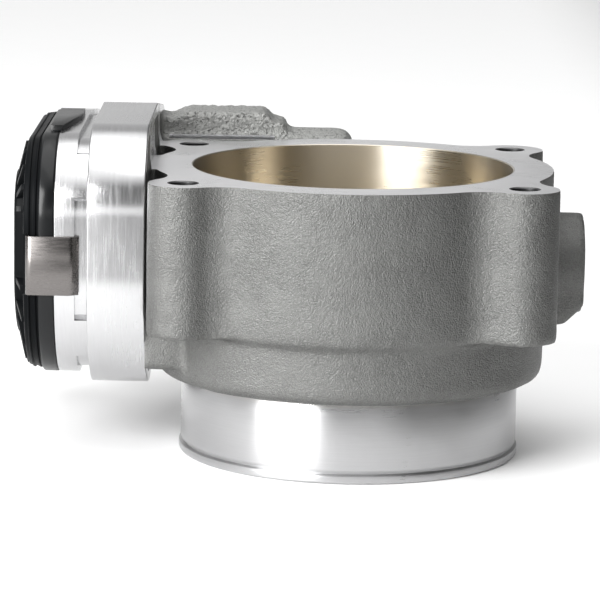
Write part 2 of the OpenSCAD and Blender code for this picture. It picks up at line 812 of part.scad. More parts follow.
module return_spring() {
    color([0.35, 0.36, 0.38]) {
        spring_coil();
        rod(spring_x1 - 1, pocket_x + 2, shaft_c + polar(spring_r, 200), spring_wire / 2);
        rod(sector_x - 3, spring_x0 + 1, shaft_c + polar(spring_r, spring_end_angle), spring_wire / 2);
    }
}

module spring_bush() {
    color([0.2, 0.2, 0.22]) ring(spigot_x + 0.2, pocket_x - 0.1, shaft_c, spigot_r + run, spring_r - 2.2);
}

module closed_stop_screw() {
    color([0.3, 0.3, 0.3]) stop_screw_place() difference() {
        translate([0, 0, -air - 12]) cylinder(r = 2, h = 12);
        translate([0, 0, -air - 12 - eps]) cylinder(r = 1, h = 2.5, $fn = 6);
    }
}

module idler_pin() {
    color([0.7, 0.7, 0.72]) rod(band_x + cover_wall + 1.3, floor_x + 7.8, idler_c, idler_pin_d / 2);
}

module idler_gear() {
    color([0.9, 0.88, 0.8]) difference() {
        union() {
            slab(large_x, floor_x - 0.6) translate(idler_c)
                gear(idler_small_teeth, gear_m, tall_tooth, mesh_angle + 180 + 180 / idler_small_teeth);
            slab(large_x - large_t, large_x) translate(idler_c)
                gear(idler_large_teeth, gear_m, short_tooth, mesh_angle);
        }
        rod(large_x - large_t - eps, floor_x, idler_c, idler_pin_d / 2 + run);
    }
}

// ---- Motor ---------------------------------------------------------------------------------

module motor_can() {
    wall = can_wall;
    color([0.55, 0.56, 0.58]) turned(motor_c) polygon([
        [can_r, can_x0], [can_r, can_x1], [end_boss_r, can_x1], [end_boss_r, can_x1 + end_boss_l],
        [rotor_r + air, can_x1 + end_boss_l], [rotor_r + air, can_x1 + end_boss_l - wall],
        [end_boss_r - wall, can_x1 + end_boss_l - wall], [end_boss_r - wall, can_x1 - wall],
        [can_r - wall, can_x1 - wall], [can_r - wall, can_x0]
    ]);
}

module motor_rear_bush() {
    color([0.6, 0.5, 0.3]) ring(can_x1 - 1, can_x1 + end_boss_l - can_wall - 0.1, motor_c,
        rotor_r + run, end_boss_r - can_wall - seat);
}

module motor_magnets() {
    color([0.2, 0.2, 0.21]) slab(armature_x0 - 2, armature_x1 + 2) translate(motor_c) difference() {
        circle(magnet_r);
        circle(magnet_r - 2.4);
        for (s = [0, 180]) rotate(s) polygon([[0, 0], polar(30, -15), polar(30, 15)]);
    }
}

module brush_place(side) {
    translate([commutator_x0, motor_c.x, motor_c.y]) rotate([side, 0, 0])
        translate([0, commutator_r + 0.15, 0]) children();
}

module motor_end_cap() {
    cap_t = 4;
    holder_r = commutator_r + 2;
    color([0.75, 0.7, 0.55]) difference() {
        union() {
            rod(can_x0 + 0.2, can_x0 + 0.2 + cap_t, motor_c, can_r - can_wall - seat);
            for (s = [0, 180]) translate([can_x0 + cap_t, motor_c.x, motor_c.y]) rotate([s, 0, 0])
                translate([0, holder_r, -4]) cube([10, brush_holder_end - holder_r, 8]);
        }
        rod(can_x0 - eps, can_x0 + cap_t + eps, motor_c, rotor_r + run);
        for (s = [0, 180]) brush_place(s) translate([0.9, -1, -2.6]) cube([5.2, 12, 5.2]);
        for (side = [1, -1]) terminal_place(side) translate([can_x0, -3.05, -0.45]) cube([5, 6.1, 0.9]);
    }
}

module motor_brushes() {
    color([0.15, 0.14, 0.14]) for (s = [0, 180]) brush_place(s) translate([1, 0, -2.5])
        cube([5, brush_holder_end - commutator_r - 1.5, 5]);
}

module motor_plate() {
    x = floor_x - 1.42;
    color([0.68, 0.69, 0.7]) slab(x, floor_x - seat) difference() {
        union() {
            translate(motor_c) circle(can_r);
            for (s = [1, -1]) translate(motor_screw_c(s)) circle(3.2);
            translate(motor_c - [3.2, can_r + 3]) square([6.4, 2 * can_r + 6]);
        }
        translate(motor_c) circle(rotor_r + 1);
        for (s = [1, -1]) translate(motor_screw_c(s)) circle(1.5 + seat);
        for (s = [1, -1]) translate(motor_c + [terminal_at.x, s * terminal_at.y])
            square([3, 8], center = true);
    }
}

module motor_plate_screws() {
    head_x = floor_x - 1.44;
    color([0.5, 0.5, 0.52]) for (s = [1, -1]) difference() {
        union() {
            rod(head_x - 0.5, floor_x + 7.5, motor_screw_c(s), 1.5);
            rod(head_x - 2, head_x, motor_screw_c(s), 2.8);
        }
        translate([head_x - 2 - eps, motor_screw_c(s).x, motor_screw_c(s).y])
            rotate([0, 90, 0]) cylinder(r = 1.2, h = 1.6, $fn = 6);
    }
}

// A terminal blade's middle line, with local Y along the blade's width
module terminal_place(side) {
    translate([0, motor_c.x + terminal_at.x, motor_c.y + side * terminal_at.y])
        rotate([90, 0, 0]) children();
}

module motor_terminals() {
    color([0.8, 0.62, 0.3]) for (side = [1, -1]) terminal_place(side)
        translate([band_x + cover_wall - 1, -3, -0.4])
            cube([can_x0 + 3.9 - band_x - cover_wall + 1, 6, 0.8]);
}

module motor_spring_washer() {
    color([0.6, 0.6, 0.55]) ring(can_x1 + 0.1, can_x1 + 1.3, motor_c, 9, 15);
}

module motor_shaft() {
    color([0.75, 0.75, 0.77]) rod(large_x - large_t - 0.8, can_x1 + end_boss_l - 0.4, motor_c, rotor_r);
}

slot_count = 5;

module motor_armature() {
    color([0.45, 0.46, 0.48]) slab(armature_x0, armature_x1) translate(motor_c) difference() {
        circle(armature_r);
        circle(rotor_r + seat);
        for (i = [0 : slot_count - 1]) rotate(i * 360 / slot_count) difference() {
            intersection() {
                circle(armature_r - 1.3);
                polygon([[0, 0], polar(40, -24), polar(40, 24)]);
            }
            circle(5);
        }
        for (i = [0 : slot_count - 1]) rotate(i * 360 / slot_count)
            translate([5, -0.8]) square([20, 1.6]);
    }
}

module motor_windings() {
    color([0.7, 0.35, 0.15]) slab(armature_x0 - 3, armature_x1 + 3) translate(motor_c)
        for (i = [0 : slot_count - 1]) rotate(i * 360 / slot_count) difference() {
            intersection() {
                circle(armature_r - 1.5);
                polygon([[0, 0], polar(40, -22), polar(40, 22)]);
            }
            circle(5.2);
        }
}

module motor_commutator() {
    color([0.75, 0.45, 0.25]) slab(commutator_x0, commutator_x0 + 8) translate(motor_c) difference() {
        circle(commutator_r);
        circle(rotor_r + seat);
        for (i = [0 : slot_count - 1]) rotate(i * 360 / slot_count) translate([3.4, -0.2]) square([4, 0.4]);
    }
}

module motor_pinion() {
    color([0.78, 0.66, 0.35]) difference() {
        slab(large_x - large_t - 0.4, large_x + 0.4) translate(motor_c)
            gear(pinion_teeth, gear_m, tall_tooth, mesh_angle + 180 + 180 / pinion_teeth);
        rod(large_x - large_t - 1, large_x + 1, motor_c, rotor_r + seat);
    }
}

// ---- Electronics ---------------------------------------------------------------------------

board_x = band_x + cover_wall + 0.6;
board_t = 1.6;

module sensor_board() {
    arm_y = motor_c.x + 9;
    arm_z = motor_c.y - chamber_motor_r + 3;
    color([0.1, 0.35, 0.16]) slab(board_x, board_x + board_t) difference() {
        union() {
            translate(shaft_c) circle(24);
            translate([0, shaft_z - 22]) square([idler_c.x + 4, 15]);
            translate([idler_c.x - 2, arm_z + 1]) square([arm_y - idler_c.x + 2, 7]);
            translate([idler_c.x - 2, shaft_z - 21]) square([8, 14]);
        }
        translate(idler_c) circle(idler_boss_r + air + 0.1);
        translate(shaft_c) circle(2);
    }
}

module sensor_chips() {
    color([0.06, 0.06, 0.07]) {
        for (a = [45, 225]) translate([board_x + board_t + 0.02, 0, shaft_z]) rotate([a, 0, 0])
            translate([0, 8, -3]) cube([1.4, 6, 6]);
        translate([board_x + board_t + 0.02, 24, shaft_z - 20]) cube([1.2, 7, 9]);
    }
}

// A connector pin's middle line, from its tip
module pin_place(i) {
    translate([pin_x, motor_c.x + (i - (pin_count - 1) / 2) * pin_pitch, pin_tip]) children();
}

// A pin, or with a gap the slot that it sits in
module pin_shape(gap, l) {
    translate([-pin_t / 2 - gap, -pin_w / 2 - gap, 0]) cube([pin_t + 2 * gap, pin_w + 2 * gap, l]);
}

module connector_pins() {
    color([0.8, 0.65, 0.3]) for (i = [0 : pin_count - 1]) pin_place(i) pin_shape(0, pin_l);
}

// ---- Nodes ---------------------------------------------------------------------------------

throttle_casting();
gear_cover();
cover_clips();
cover_gasket();
throttle_shaft();
throttle_plate();
plate_screws();
needle_bearing_cup();
needle_cage();
bearing_needles();
ball_bearing_outer();
ball_bearing_inner();
bearing_balls();
ball_cage();
bearing_shields();
shaft_seals();
shaft_end_plug();
shaft_circlip();
sector_gear();
sensor_rotor();
return_spring();
spring_bush();
closed_stop_screw();
idler_pin();
idler_gear();
motor_can();
motor_magnets();
motor_rear_bush();
motor_end_cap();
motor_brushes();
motor_plate();
motor_plate_screws();
motor_terminals();
motor_spring_washer();
motor_shaft();
motor_armature();
motor_windings();
motor_commutator();
motor_pinion();
sensor_board();
sensor_chips();
connector_pins();
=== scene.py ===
import json
import math

import bmesh
import bpy
from bpy.props import FloatProperty, FloatVectorProperty, IntProperty, PointerProperty
from bpy.types import Operator, Panel, PropertyGroup
from mathutils import Matrix, Vector, noise


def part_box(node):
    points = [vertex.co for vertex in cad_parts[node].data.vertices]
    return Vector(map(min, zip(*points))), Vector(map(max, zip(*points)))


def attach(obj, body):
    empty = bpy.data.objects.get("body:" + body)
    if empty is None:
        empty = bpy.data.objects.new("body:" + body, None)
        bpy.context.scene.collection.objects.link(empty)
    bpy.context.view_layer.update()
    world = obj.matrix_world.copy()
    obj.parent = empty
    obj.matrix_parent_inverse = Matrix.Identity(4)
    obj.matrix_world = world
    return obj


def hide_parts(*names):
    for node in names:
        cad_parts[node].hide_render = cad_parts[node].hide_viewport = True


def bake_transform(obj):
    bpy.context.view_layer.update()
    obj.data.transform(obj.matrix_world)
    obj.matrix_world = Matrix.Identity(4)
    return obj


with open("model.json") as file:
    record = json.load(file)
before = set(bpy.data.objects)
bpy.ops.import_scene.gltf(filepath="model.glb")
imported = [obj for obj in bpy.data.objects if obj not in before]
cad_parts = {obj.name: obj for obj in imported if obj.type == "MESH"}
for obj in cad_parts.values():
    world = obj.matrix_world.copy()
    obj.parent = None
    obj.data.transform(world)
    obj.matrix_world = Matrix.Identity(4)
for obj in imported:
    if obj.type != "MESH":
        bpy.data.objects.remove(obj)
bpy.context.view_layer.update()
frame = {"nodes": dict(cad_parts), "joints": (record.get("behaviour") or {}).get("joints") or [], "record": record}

bl_info = {
    "name": "Throttle Body Builder",
    "version": (1, 0, 0),
    "blender": (4, 5, 0),
    "location": "View3D > Sidebar > Throttle",
    "description": "Builds a drive-by-wire throttle body over its CAD frame, with its finishes and studio",
    "category": "Add Mesh",
}

RECORD = frame["record"]
CASTING_LOW, CASTING_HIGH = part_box("throttle_casting")
COVER_LOW, COVER_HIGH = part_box("gear_cover")
PLATE_LOW, PLATE_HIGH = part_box("throttle_plate")
JOINT_AT = {joint["name"]: Vector(joint["pos_m"]) for joint in frame["joints"]}
MOUNT = {mount["name"]: mount["dims"] for mount in RECORD["mounts"]}
BOLTS = MOUNT["manifold_bolts"]
SHAFT = JOINT_AT["throttle_turn"]
IDLER = JOINT_AT["idler_turn"]
MOTOR = JOINT_AT["motor_turn"]
MM = 0.001
FULL_TURN = 2 * math.pi
QUARTER = math.pi / 2
EASED = (0, 0.4, 0.8, 1.2, QUARTER)  # angles of the points on a rounded edge
FAR = 0.1  # past the part on every side, for cuts that go right through
SEAT = 0.02 * MM  # clearance round pieces that seat in a bore


def length(name, description, default, low=0.0, high=0.2):
    return FloatProperty(
        name=name, description=description, default=default, min=low, max=high, unit="LENGTH", precision=5
    )


def colour(name, description, default):
    return FloatVectorProperty(
        name=name, description=description, default=default, min=0, max=1, size=3, subtype="COLOR"
    )


class ThrottleBodySizes(PropertyGroup):
    """Sizes of the bore body, in the CAD frame."""

    bore_radius: length("Bore radius", "Radius of the throttle bore", 51 * MM)
    flange_radius: length("Flange radius", "Radius of the round flange", 64 * MM)
    foot_radius: length("Foot radius", "Radius of the cast body at its lower edge", 61.7 * MM)
    cast_height: length("Cast height", "Height of the cast body", 66 * MM)
    neck_radius: length("Neck radius", "Outer radius of the inlet neck", 54 * MM)
    bead_radius: length("Bead radius", "Outer radius of the neck's bead", MOUNT["inlet_neck"]["r_mm"] * MM)
    bead_height: length("Bead height", "Height of the bead", 3 * MM)
    body_height: length("Body height", "Flange face to the end of the neck", -CASTING_LOW.z)
    bolt_x: length("Bolt X", "Half the bolt spacing along the shaft", BOLTS["spacing_x_mm"] * MM / 2)
    bolt_y: length("Bolt Y", "Half the bolt spacing across the shaft", BOLTS["spacing_y_mm"] * MM / 2)
    bolt_radius: length("Bolt hole radius", "Radius of the bolt holes", BOLTS["hole_r_mm"] * MM)
    ear_radius: length("Ear radius", "Radius of a bolt ear", 11 * MM)
    ear_depth: length("Ear depth", "Depth of an ear below the flange face", 47.5 * MM)
    ear_fillet: length("Ear fillet", "Radius where an ear runs into the body", 13 * MM)
    boss_radius: length("Boss radius", "Radius of the far bearing boss", 16 * MM)
    boss_end: length("Boss end", "X of the end of the far boss", CASTING_HIGH.x)
    barrel_radius: length("Barrel radius", "Radius of the motor barrel", 23 * MM)
    barrel_end: length("Barrel end", "X of the end of the motor barrel", 0.5 * MM, -0.1)
    grain: length("Casting voxel", "Voxel that the cast blank is rounded with", 1.1 * MM, 0.5 * MM)


class ThrottleHousingSizes(PropertyGroup):
    """Sizes of the gear housing, the cover and the clips."""

    block_right: length("Block right", "X of the block's face on the body", -64.2 * MM, -0.2)
    block_left: length("Block left", "X of the block's face on the groove", -82.2 * MM, -0.2)
    groove_left: length("Groove left", "X of the rim's back edge", -86 * MM, -0.2)
    joint: length("Joint", "X of the joint between housing and cover", CASTING_LOW.x, -0.2)
    floor: length("Chamber floor", "X of the gear chamber's floor", -79 * MM, -0.2)
    front: length("Front", "Distance from the shaft to the block's front", 40.49 * MM)
    block_top: length("Block top", "Z of the block's top face", CASTING_HIGH.z, -0.2)
    block_corner: length("Block corner", "Radius of the block's upper front corner", 27 * MM)
    rim_drop: length("Rim drop", "Step from the block's top down to the rim", 2.7 * MM)
    rim_step: length("Rim step", "Step from the block's front back to the rim", 0.2 * MM)
    rim_radius: length("Rim radius", "Radius of the rim round the shaft", 36.99 * MM)
    groove_depth: length("Groove depth", "Depth of the clip groove", 1.8 * MM)
    band: length("Cover band", "X of the cover's band face", -102 * MM, -0.2)
    dome: length("Cover dome", "X of the cover's dome face", COVER_LOW.x, -0.2)
    cover_wall: length("Cover wall", "Thickness of the cover's wall", 2.6 * MM)
    spring_wire: length("Spring wire", "Diameter of the return spring's wire", 2 * MM)
    clip_width: length("Clip width", "Width of a spring clip", 18.4 * MM)
    clip_thickness: length("Clip thickness", "Thickness of a spring clip", 1 * MM)
    ribs: IntProperty(name="Ribs", description="Ribs round each corner of the dome", default=6, min=2, max=12)


class ThrottleFinishes(PropertyGroup):
    """Colours of the visible finishes."""

    cast: colour("Cast aluminium", "Sand-cast skin", (0.128, 0.129, 0.125))
    machined: colour("Machined aluminium", "Cut faces, neck and bore", (0.86, 0.86, 0.87))
    # bore: a tan tint painted on the bore's wall, a painted reflection of the brass throttle plate
    bore: colour("Bore", "Wall of the bore, with a painted reflection of the brass plate", (0.50, 0.465, 0.40))
    cover: colour("Cover", "Black moulded plastic", (0.0035, 0.004, 0.0045))
    clip: colour("Clip", "Stainless spring steel", (0.17, 0.16, 0.155))
    floor: colour("Floor", "Pale studio floor", (0.95, 0.95, 0.95))


class ThrottleStudio(PropertyGroup):
    """Lights and camera."""

    overhead: FloatProperty(
        name="Overhead", description="Power of the overhead softbox", default=4, unit="POWER"
    )
    left: FloatProperty(
        name="Left", description="Power of the left strip softbox", default=30, unit="POWER"
    )
    ambient: FloatProperty(
        name="Ambient", description="Strength of the studio's walls", default=1.75, min=0
    )
    # the floor out of view is painted dark: painted shade standing in for the dark room round the part
    shaded_surround: FloatProperty(
        name="Surround", description="Tone of the floor out of view", default=0.26, min=0, max=1
    )
    lens: FloatProperty(name="Lens", description="Focal length", default=210.1, min=20, unit="CAMERA")


# ---- Meshes --------------------------------------------------------------------------------


def arc(centre, radius, start, sweep, steps):
    """Points (u, v) along an arc."""
    angles = [start + sweep * k / steps for k in range(steps + 1)]
    return [(centre[0] + radius * math.cos(a), centre[1] + radius * math.sin(a)) for a in angles]


def outline(circles, grow=0.0, steps=28):
    """The line drawn tightly round circles (u, v, radius), anticlockwise, moved out by grow."""
    turns = []
    for here, there in zip(circles, circles[1:] + circles[:1]):
        du, dv = there[0] - here[0], there[1] - here[1]
        turns.append(math.atan2(dv, du) - math.acos((here[2] - there[2]) / math.hypot(du, dv)))
    points = []
    for i, (u, v, radius) in enumerate(circles):
        points += arc((u, v), radius + grow, turns[i - 1], (turns[i] - turns[i - 1]) % FULL_TURN, steps)
    return points


def loft(rings, wrap=False):
    """(points, faces) of a skin through rings of points, closed by flat ends or back on itself."""
    size = len(rings[0])
    points = [point for ring in rings for point in ring]
    pairs = [(i, i + 1) for i in range(len(rings) - 1)]
    if wrap:
        pairs.append((len(rings) - 1, 0))
    faces = [
        (a * size + k, a * size + (k + 1) % size, b * size + (k + 1) % size, b * size + k)
        for a, b in pairs
        for k in range(size)
    ]
    if not wrap:
        faces += [tuple(range(size)), tuple(range((len(rings) - 1) * size, len(rings) * size))]
    return points, faces


def prism_x(circles, profile, steps=28):
    """A solid along X through outlines: profile is (x, grow) pairs."""
    return loft([[(x, u, v) for u, v in outline(circles, grow, steps)] for x, grow in profile])


def plate_z(points, low, high):
    """A solid between two heights over (x, y) points."""
    return loft([[(u, v, z) for u, v in points] for z in (low, high)])


def block(low, high):
    """A box between two corners, in mesh form, for cuts and blanks."""
    corners = [(low[0], low[1]), (high[0], low[1]), (high[0], high[1]), (low[0], high[1])]
    return plate_z(corners, low[2], high[2])


def rounded(start, stop, radius, steps=4):
    """(x, grow) pairs from start to stop with a rounded edge at each end."""
    way = 1 if stop > start else -1
    angles = [QUARTER * k / steps for k in range(steps + 1)]
    first = [(start + way * radius * (1 - math.cos(a)), radius * (math.sin(a) - 1)) for a in angles]
    return first + [(stop - (x - start), grow) for x, grow in reversed(first)]


def spun(profile, centre, axis="X", segments=96, wrap=False):
    """A solid turned from (along, radius) pairs about a line through centre."""
    rings = []
    for along, radius in profile:
        ring = []
        for k in range(segments):
            a = FULL_TURN * k / segments
            u, v = radius * math.cos(a), radius * math.sin(a)
            if axis == "X":
                ring.append((along, centre[1] + u, centre[2] + v))
            else:
                ring.append((centre[0] + u, centre[1] + v, along))
        rings.append(ring)
    return loft(rings, wrap)


def gathered(*shapes):
    """Several (points, faces) shapes as one."""
    points, faces = [], []
    for more_points, more_faces in shapes:
        start = len(points)
        points += more_points
        faces += [tuple(start + i for i in face) for face in more_faces]
    return points, faces


def solid(name, shape, materials=(), index=0):
    """An object with outward normals from (points, faces)."""
    mesh = bpy.data.meshes.new(name)
    mesh.from_pydata([tuple(point) for point in shape[0]], [], shape[1])
    model = bmesh.new()
    model.from_mesh(mesh)
    bmesh.ops.recalc_face_normals(model, faces=model.faces)
    model.to_mesh(mesh)
    model.free()
    for material in materials:
        mesh.materials.append(material)
    for face in mesh.polygons:
        face.material_index = index
    made = bpy.data.objects.new(name, mesh)
    bpy.context.scene.collection.objects.link(made)
    return made


def settled(made):
    """made with its modifiers applied."""
    bpy.context.view_layer.update()
    graph = bpy.context.evaluated_depsgraph_get()
    mesh = bpy.data.meshes.new_from_object(made.evaluated_get(graph), depsgraph=graph)
    old = made.data
    made.modifiers.clear()
    made.data = mesh
    bpy.data.meshes.remove(old)
    mesh.name = made.name
    return made


def combined(made, shape, operation="DIFFERENCE", index=None):
    """made cut by or joined with another shape. Cut faces take the second material, or a given one."""
    materials = list(made.data.materials)
    if index is None:
        index = min(1, len(materials) - 1) if operation == "DIFFERENCE" else 0
    tool = solid("tool", shape, materials, index)
    change = made.modifiers.new("combine", "BOOLEAN")
    change.operation = operation
    change.solver = "MANIFOLD"
    change.object = tool
    settled(made)
    data = tool.data
    bpy.data.objects.remove(tool)
    bpy.data.meshes.remove(data)
    if not made.data.polygons:
        raise RuntimeError(f"nothing is left of {made.name}")
    return made


def shape_of(made):
    """(points, faces) of an object's mesh."""
    mesh = made.data
    return [vertex.co[:] for vertex in mesh.vertices], [tuple(face.vertices) for face in mesh.polygons]


def smooth_shaded(made, degrees=32):
    """made with smooth faces and sharp edges past an angle."""
    made.data.polygons.foreach_set("use_smooth", [True] * len(made.data.polygons))
    made.data.set_sharp_from_angle(angle=math.radians(degrees))
    made.data.update()
    return made


def placed(made, body, slot, *nodes):
    """made riding on a CAD body, hiding the nodes it stands for. The slot is not used."""
    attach(made, body)
    if nodes:
        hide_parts(*nodes)
    return made


# ---- Finishes ------------------------------------------------------------------------------


class Wire:
    """A shader socket. Arithmetic on it adds Math nodes."""

    def __init__(self, tree, socket=None):
        self.tree = tree
        self.socket = socket

    def add(self, kind, settings=None, values=None, output=0):
        """A new node: its settings first, then values or links for its sockets."""
        node = self.tree.nodes.new(kind)
        for key, value in (settings or {}).items():
            if key == "stops":
                while len(node.color_ramp.elements) < len(value):
                    node.color_ramp.elements.new(1.0)
                for element, (position, shade) in zip(node.color_ramp.elements, value):
                    element.position = position
                    element.color = (*shade, 1) if isinstance(shade, tuple) else (shade, shade, shade, 1)
            else:
                setattr(node, key, value)
        for key, value in (values or {}).items():
            if isinstance(value, Wire):
                self.tree.links.new(value.socket, node.inputs[key])
            else:
                node.inputs[key].default_value = value
        return Wire(self.tree, node.outputs[output] if len(node.outputs) else None)

    def maths(self, operation, first, second):
        return self.add("ShaderNodeMath", {"operation": operation}, {0: first, 1: second})

    def __add__(self, other):
        return self.maths("ADD", self, other)

    def __radd__(self, other):
        return self.maths("ADD", other, self)

    def __sub__(self, other):
        return self.maths("SUBTRACT", self, other)

    def __rsub__(self, other):
        return self.maths("SUBTRACT", other, self)

    def __mul__(self, other):
        return self.maths("MULTIPLY", self, other)

    def __rmul__(self, other):
        return self.maths("MULTIPLY", other, self)

    def stretched(self, scale):
        """A vector scaled along its axes."""
        return self.add("ShaderNodeVectorMath", {"operation": "MULTIPLY"}, {0: self, 1: scale})

    def noise(self, scale, detail=2.0, rough=0.5):
        """Noise from 0 to 1 over this vector."""
        return self.add(
            "ShaderNodeTexNoise", None, {"Vector": self, "Scale": scale, "Detail": detail, "Roughness": rough}
        )

    def between(self, low, high, to_low=0.0, to_high=1.0):
        """This value's place between low and high, eased and clamped."""
        return self.add(
            "ShaderNodeMapRange",
            {"interpolation_type": "SMOOTHSTEP"},
            {"Value": self, "From Min": low, "From Max": high, "To Min": to_low, "To Max": to_high},
        )

    def mixed(self, first, second):
        """Colour first where this is 0, second where it is 1."""
        return self.add("ShaderNodeMix", {"data_type": "RGBA"}, {0: self, 6: first, 7: second}, 2)


def shade(base, factor):
    return (*[min(1.0, c * factor) for c in base[:3]], 1.0)


def material(name, recipe, **constants):
    """A material from a recipe that returns the varying inputs of a Principled shader."""
    made = bpy.data.materials.new(name)
    made.use_nodes = True
    tree = made.node_tree
    tree.nodes.clear()
    start = Wire(tree)
    place = start.add("ShaderNodeTexCoord", output="Object")
    surface = start.add("ShaderNodeBsdfPrincipled", None, {**constants, **recipe(place)})
    start.add("ShaderNodeOutputMaterial", None, {"Surface": surface})
    made.diffuse_color = (*constants.get("Base Color", (0.5, 0.5, 0.5, 1))[:3], 1)
    return made


def split(place):
    """The X, Y and Z of a vector."""
    return [place.add("ShaderNodeSeparateXYZ", None, {0: place}, axis) for axis in "XYZ"]


def bumped(height, strength, distance):
    """A normal from a height."""
    values = {"Height": height, "Strength": strength, "Distance": distance}
    return height.add("ShaderNodeBump", None, values, "Normal")


def cast_recipe(base):
    """Sand-cast skin: packed grains, glints on their tops, and coarser sand by the barrel's pad, which is painted
    lighter, partly its paler sand and partly painted light from above, with painted shade in its pits.
    """

    def recipe(place):
        _, y, z = split(place)
        rough_pad_and_top_light = y.between(0.060, 0.066) * z.between(-0.016, -0.006)
        grains = place.noise(2300, 3.0, 0.62)
        lumps = place.noise(620, 2.0, 0.5)
        clouds = place.noise(95, 3.0, 0.55)
        cells = place.add("ShaderNodeTexVoronoi", None, {"Vector": place, "Scale": 2100.0}, "Distance")
        pits = rough_pad_and_top_light * place.noise(1000, 2.0, 0.6).between(0.56, 0.68)
        tone = clouds.between(0.3, 0.7).mixed(shade(base, 0.86), shade(base, 1.08))
        tone = grains.between(0.35, 0.72).mixed(tone, shade(base, 1.35))
        # the pad painted 2.6 times lighter: partly its paler coarse sand, partly painted light falling on its top
        tone = rough_pad_and_top_light.mixed(tone, shade(base, 2.6))
        # pits painted darker: painted shade in the pits
        tone = (pits * 0.6).mixed(tone, shade(base, 0.4))
        height = grains * 0.6 + lumps * (0.5 + rough_pad_and_top_light * 1.6) - cells * 0.35 - pits * 0.8
        return {
            "Base Color": tone,
            "Roughness": 0.50 - grains.between(0.45, 0.75) * 0.14 + rough_pad_and_top_light * 0.14,
            "Normal": bumped(height, 0.9, 0.00045),
        }

    return recipe


def turned_recipe(base, bore):
    """Turned metal: lines round the axis, and a warmer tone inside the bore, a painted reflection of the brass
    plate.
    """

    def recipe(place):
        varying = machined_recipe(base, (60, 60, 3200), 0.27, 0.14)(place)
        # painted reflection: the bore's wall below this height takes the brass plate's tan
        inside = split(place)[2].between(-0.069, -0.063)
        varying["Base Color"] = inside.mixed(varying["Base Color"], bore)
        return varying

    return recipe


def machined_recipe(base, stretch, rough=0.2, depth=0.25):
    """Machined metal: fine tool lines along one direction, with a faint tarnish."""

    def recipe(place):
        lines = place.stretched(stretch).noise(1.0, 3.0, 0.6)
        broad = place.stretched(tuple(s * 0.16 for s in stretch)).noise(1.0, 2.0, 0.5)
        haze = place.noise(38, 2.0, 0.5)
        worn = (lines * 0.5 + haze * 0.5).between(0.3, 0.7)
        return {
            "Base Color": worn.mixed(shade(base, 0.93), shade(base, 1.03)),
            "Roughness": rough + haze.between(0.35, 0.75) * 0.08 + lines.between(0.4, 0.7) * 0.07,
            "Normal": bumped(lines + broad * 0.8, depth, 0.00006),
        }

    return recipe


def plastic_recipe(base, rough=0.3, grain=1500):
    """Moulded plastic: fine spark-eroded grain and faint flow marks."""

    def recipe(place):
        grains = place.noise(grain, 2.0, 0.5)
        flow = place.stretched((60, 60, 18)).noise(1.0, 3.0, 0.5)
        tone = flow.between(0.35, 0.7).mixed(shade(base, 0.9), shade(base, 1.15))
        return {
            "Base Color": tone,
            "Roughness": rough + flow.between(0.3, 0.7) * 0.08 + grains * 0.05,
            "Normal": bumped(grains, 0.18, 0.00008),
        }

    return recipe


def cover_recipe(base):
    """The cover's black plastic, glossier on its flange."""

    def recipe(place):
        varying = plastic_recipe(base, 0.32)(place)
        varying["Coat Weight"] = split(place)[0].between(-0.0976, -0.0966, 0.0, 0.5)
        return varying

    return recipe


def sintered_recipe(base):
    """Pressed or stacked dark metal: matt, with fine pores."""

    def recipe(place):
        pores = place.noise(1800, 3.0, 0.7)
        clouds = place.noise(120, 2.0, 0.5)
        worn = (pores * 0.6 + clouds * 0.4).between(0.35, 0.65)
        return {
            "Base Color": worn.mixed(shade(base, 0.8), shade(base, 1.2)),
            "Roughness": 0.5 + pores * 0.2,
            "Normal": bumped(pores, 0.3, 0.0001),
        }

    return recipe


SLOT_RECIPES = {
    "aluminium": (lambda base: machined_recipe(base, (900, 900, 900)), {"Metallic": 1.0}),
    "brushed_steel": (lambda base: machined_recipe(base, (2600, 160, 160), 0.24), {"Metallic": 1.0}),
    "brass": (lambda base: machined_recipe(base, (240, 2200, 240), 0.26), {"Metallic": 1.0}),
    "cast_iron": (sintered_recipe, {"Metallic": 0.6}),
    "matte_plastic": (lambda base: plastic_recipe(base, 0.42), {"Metallic": 0.0}),
    "rubber": (lambda base: plastic_recipe(base, 0.62, 900), {"Metallic": 0.0, "Sheen Weight": 0.15}),
}


def visible_finishes(finishes):
    """The finishes of the pieces that are modelled here."""
    cast, machined = tuple(finishes.cast), tuple(finishes.machined)
    milled, turned = shade(machined, 0.66), shade(machined, 0.56)
    return {
        "cast": material("sand_cast_aluminium", cast_recipe(cast), Metallic=0.88),
        "faced": material("faced_aluminium", machined_recipe(machined, (140, 2400, 140), 0.26), Metallic=1.0),
        # bolt hole walls: machined colour at 0.12, painted shade inside the holes
        "shaded_hole": material(
            "shaded_hole_aluminium", machined_recipe(shade(machined, 0.12), (300, 300, 2600), 0.3), Metallic=1.0
        ),
        "milled": material(
            "milled_aluminium", machined_recipe(milled, (2600, 90, 90), 0.17, 0.32), Metallic=1.0
        ),
        "turned": material(
            "turned_aluminium", turned_recipe(turned, tuple(finishes.bore) + (1,)),
            **{"Metallic": 1.0, "Anisotropic": 0.85, "Anisotropic Rotation": 0.25},
        ),
        "cover": material(
            "black_moulding", cover_recipe(tuple(finishes.cover)),
            **{"Specular IOR Level": 0.04, "Coat Roughness": 0.2},
        ),
        "clip": material(
            "stainless_spring", machined_recipe(tuple(finishes.clip), (220, 2600, 2600), 0.2), Metallic=1.0
        ),
    }


def finish(name):
    """A visible finish, made on first use."""
    if name not in MADE:
        MADE.update(visible_finishes(bpy.context.scene.throttle_finishes))
    return MADE[name]


MADE = {}


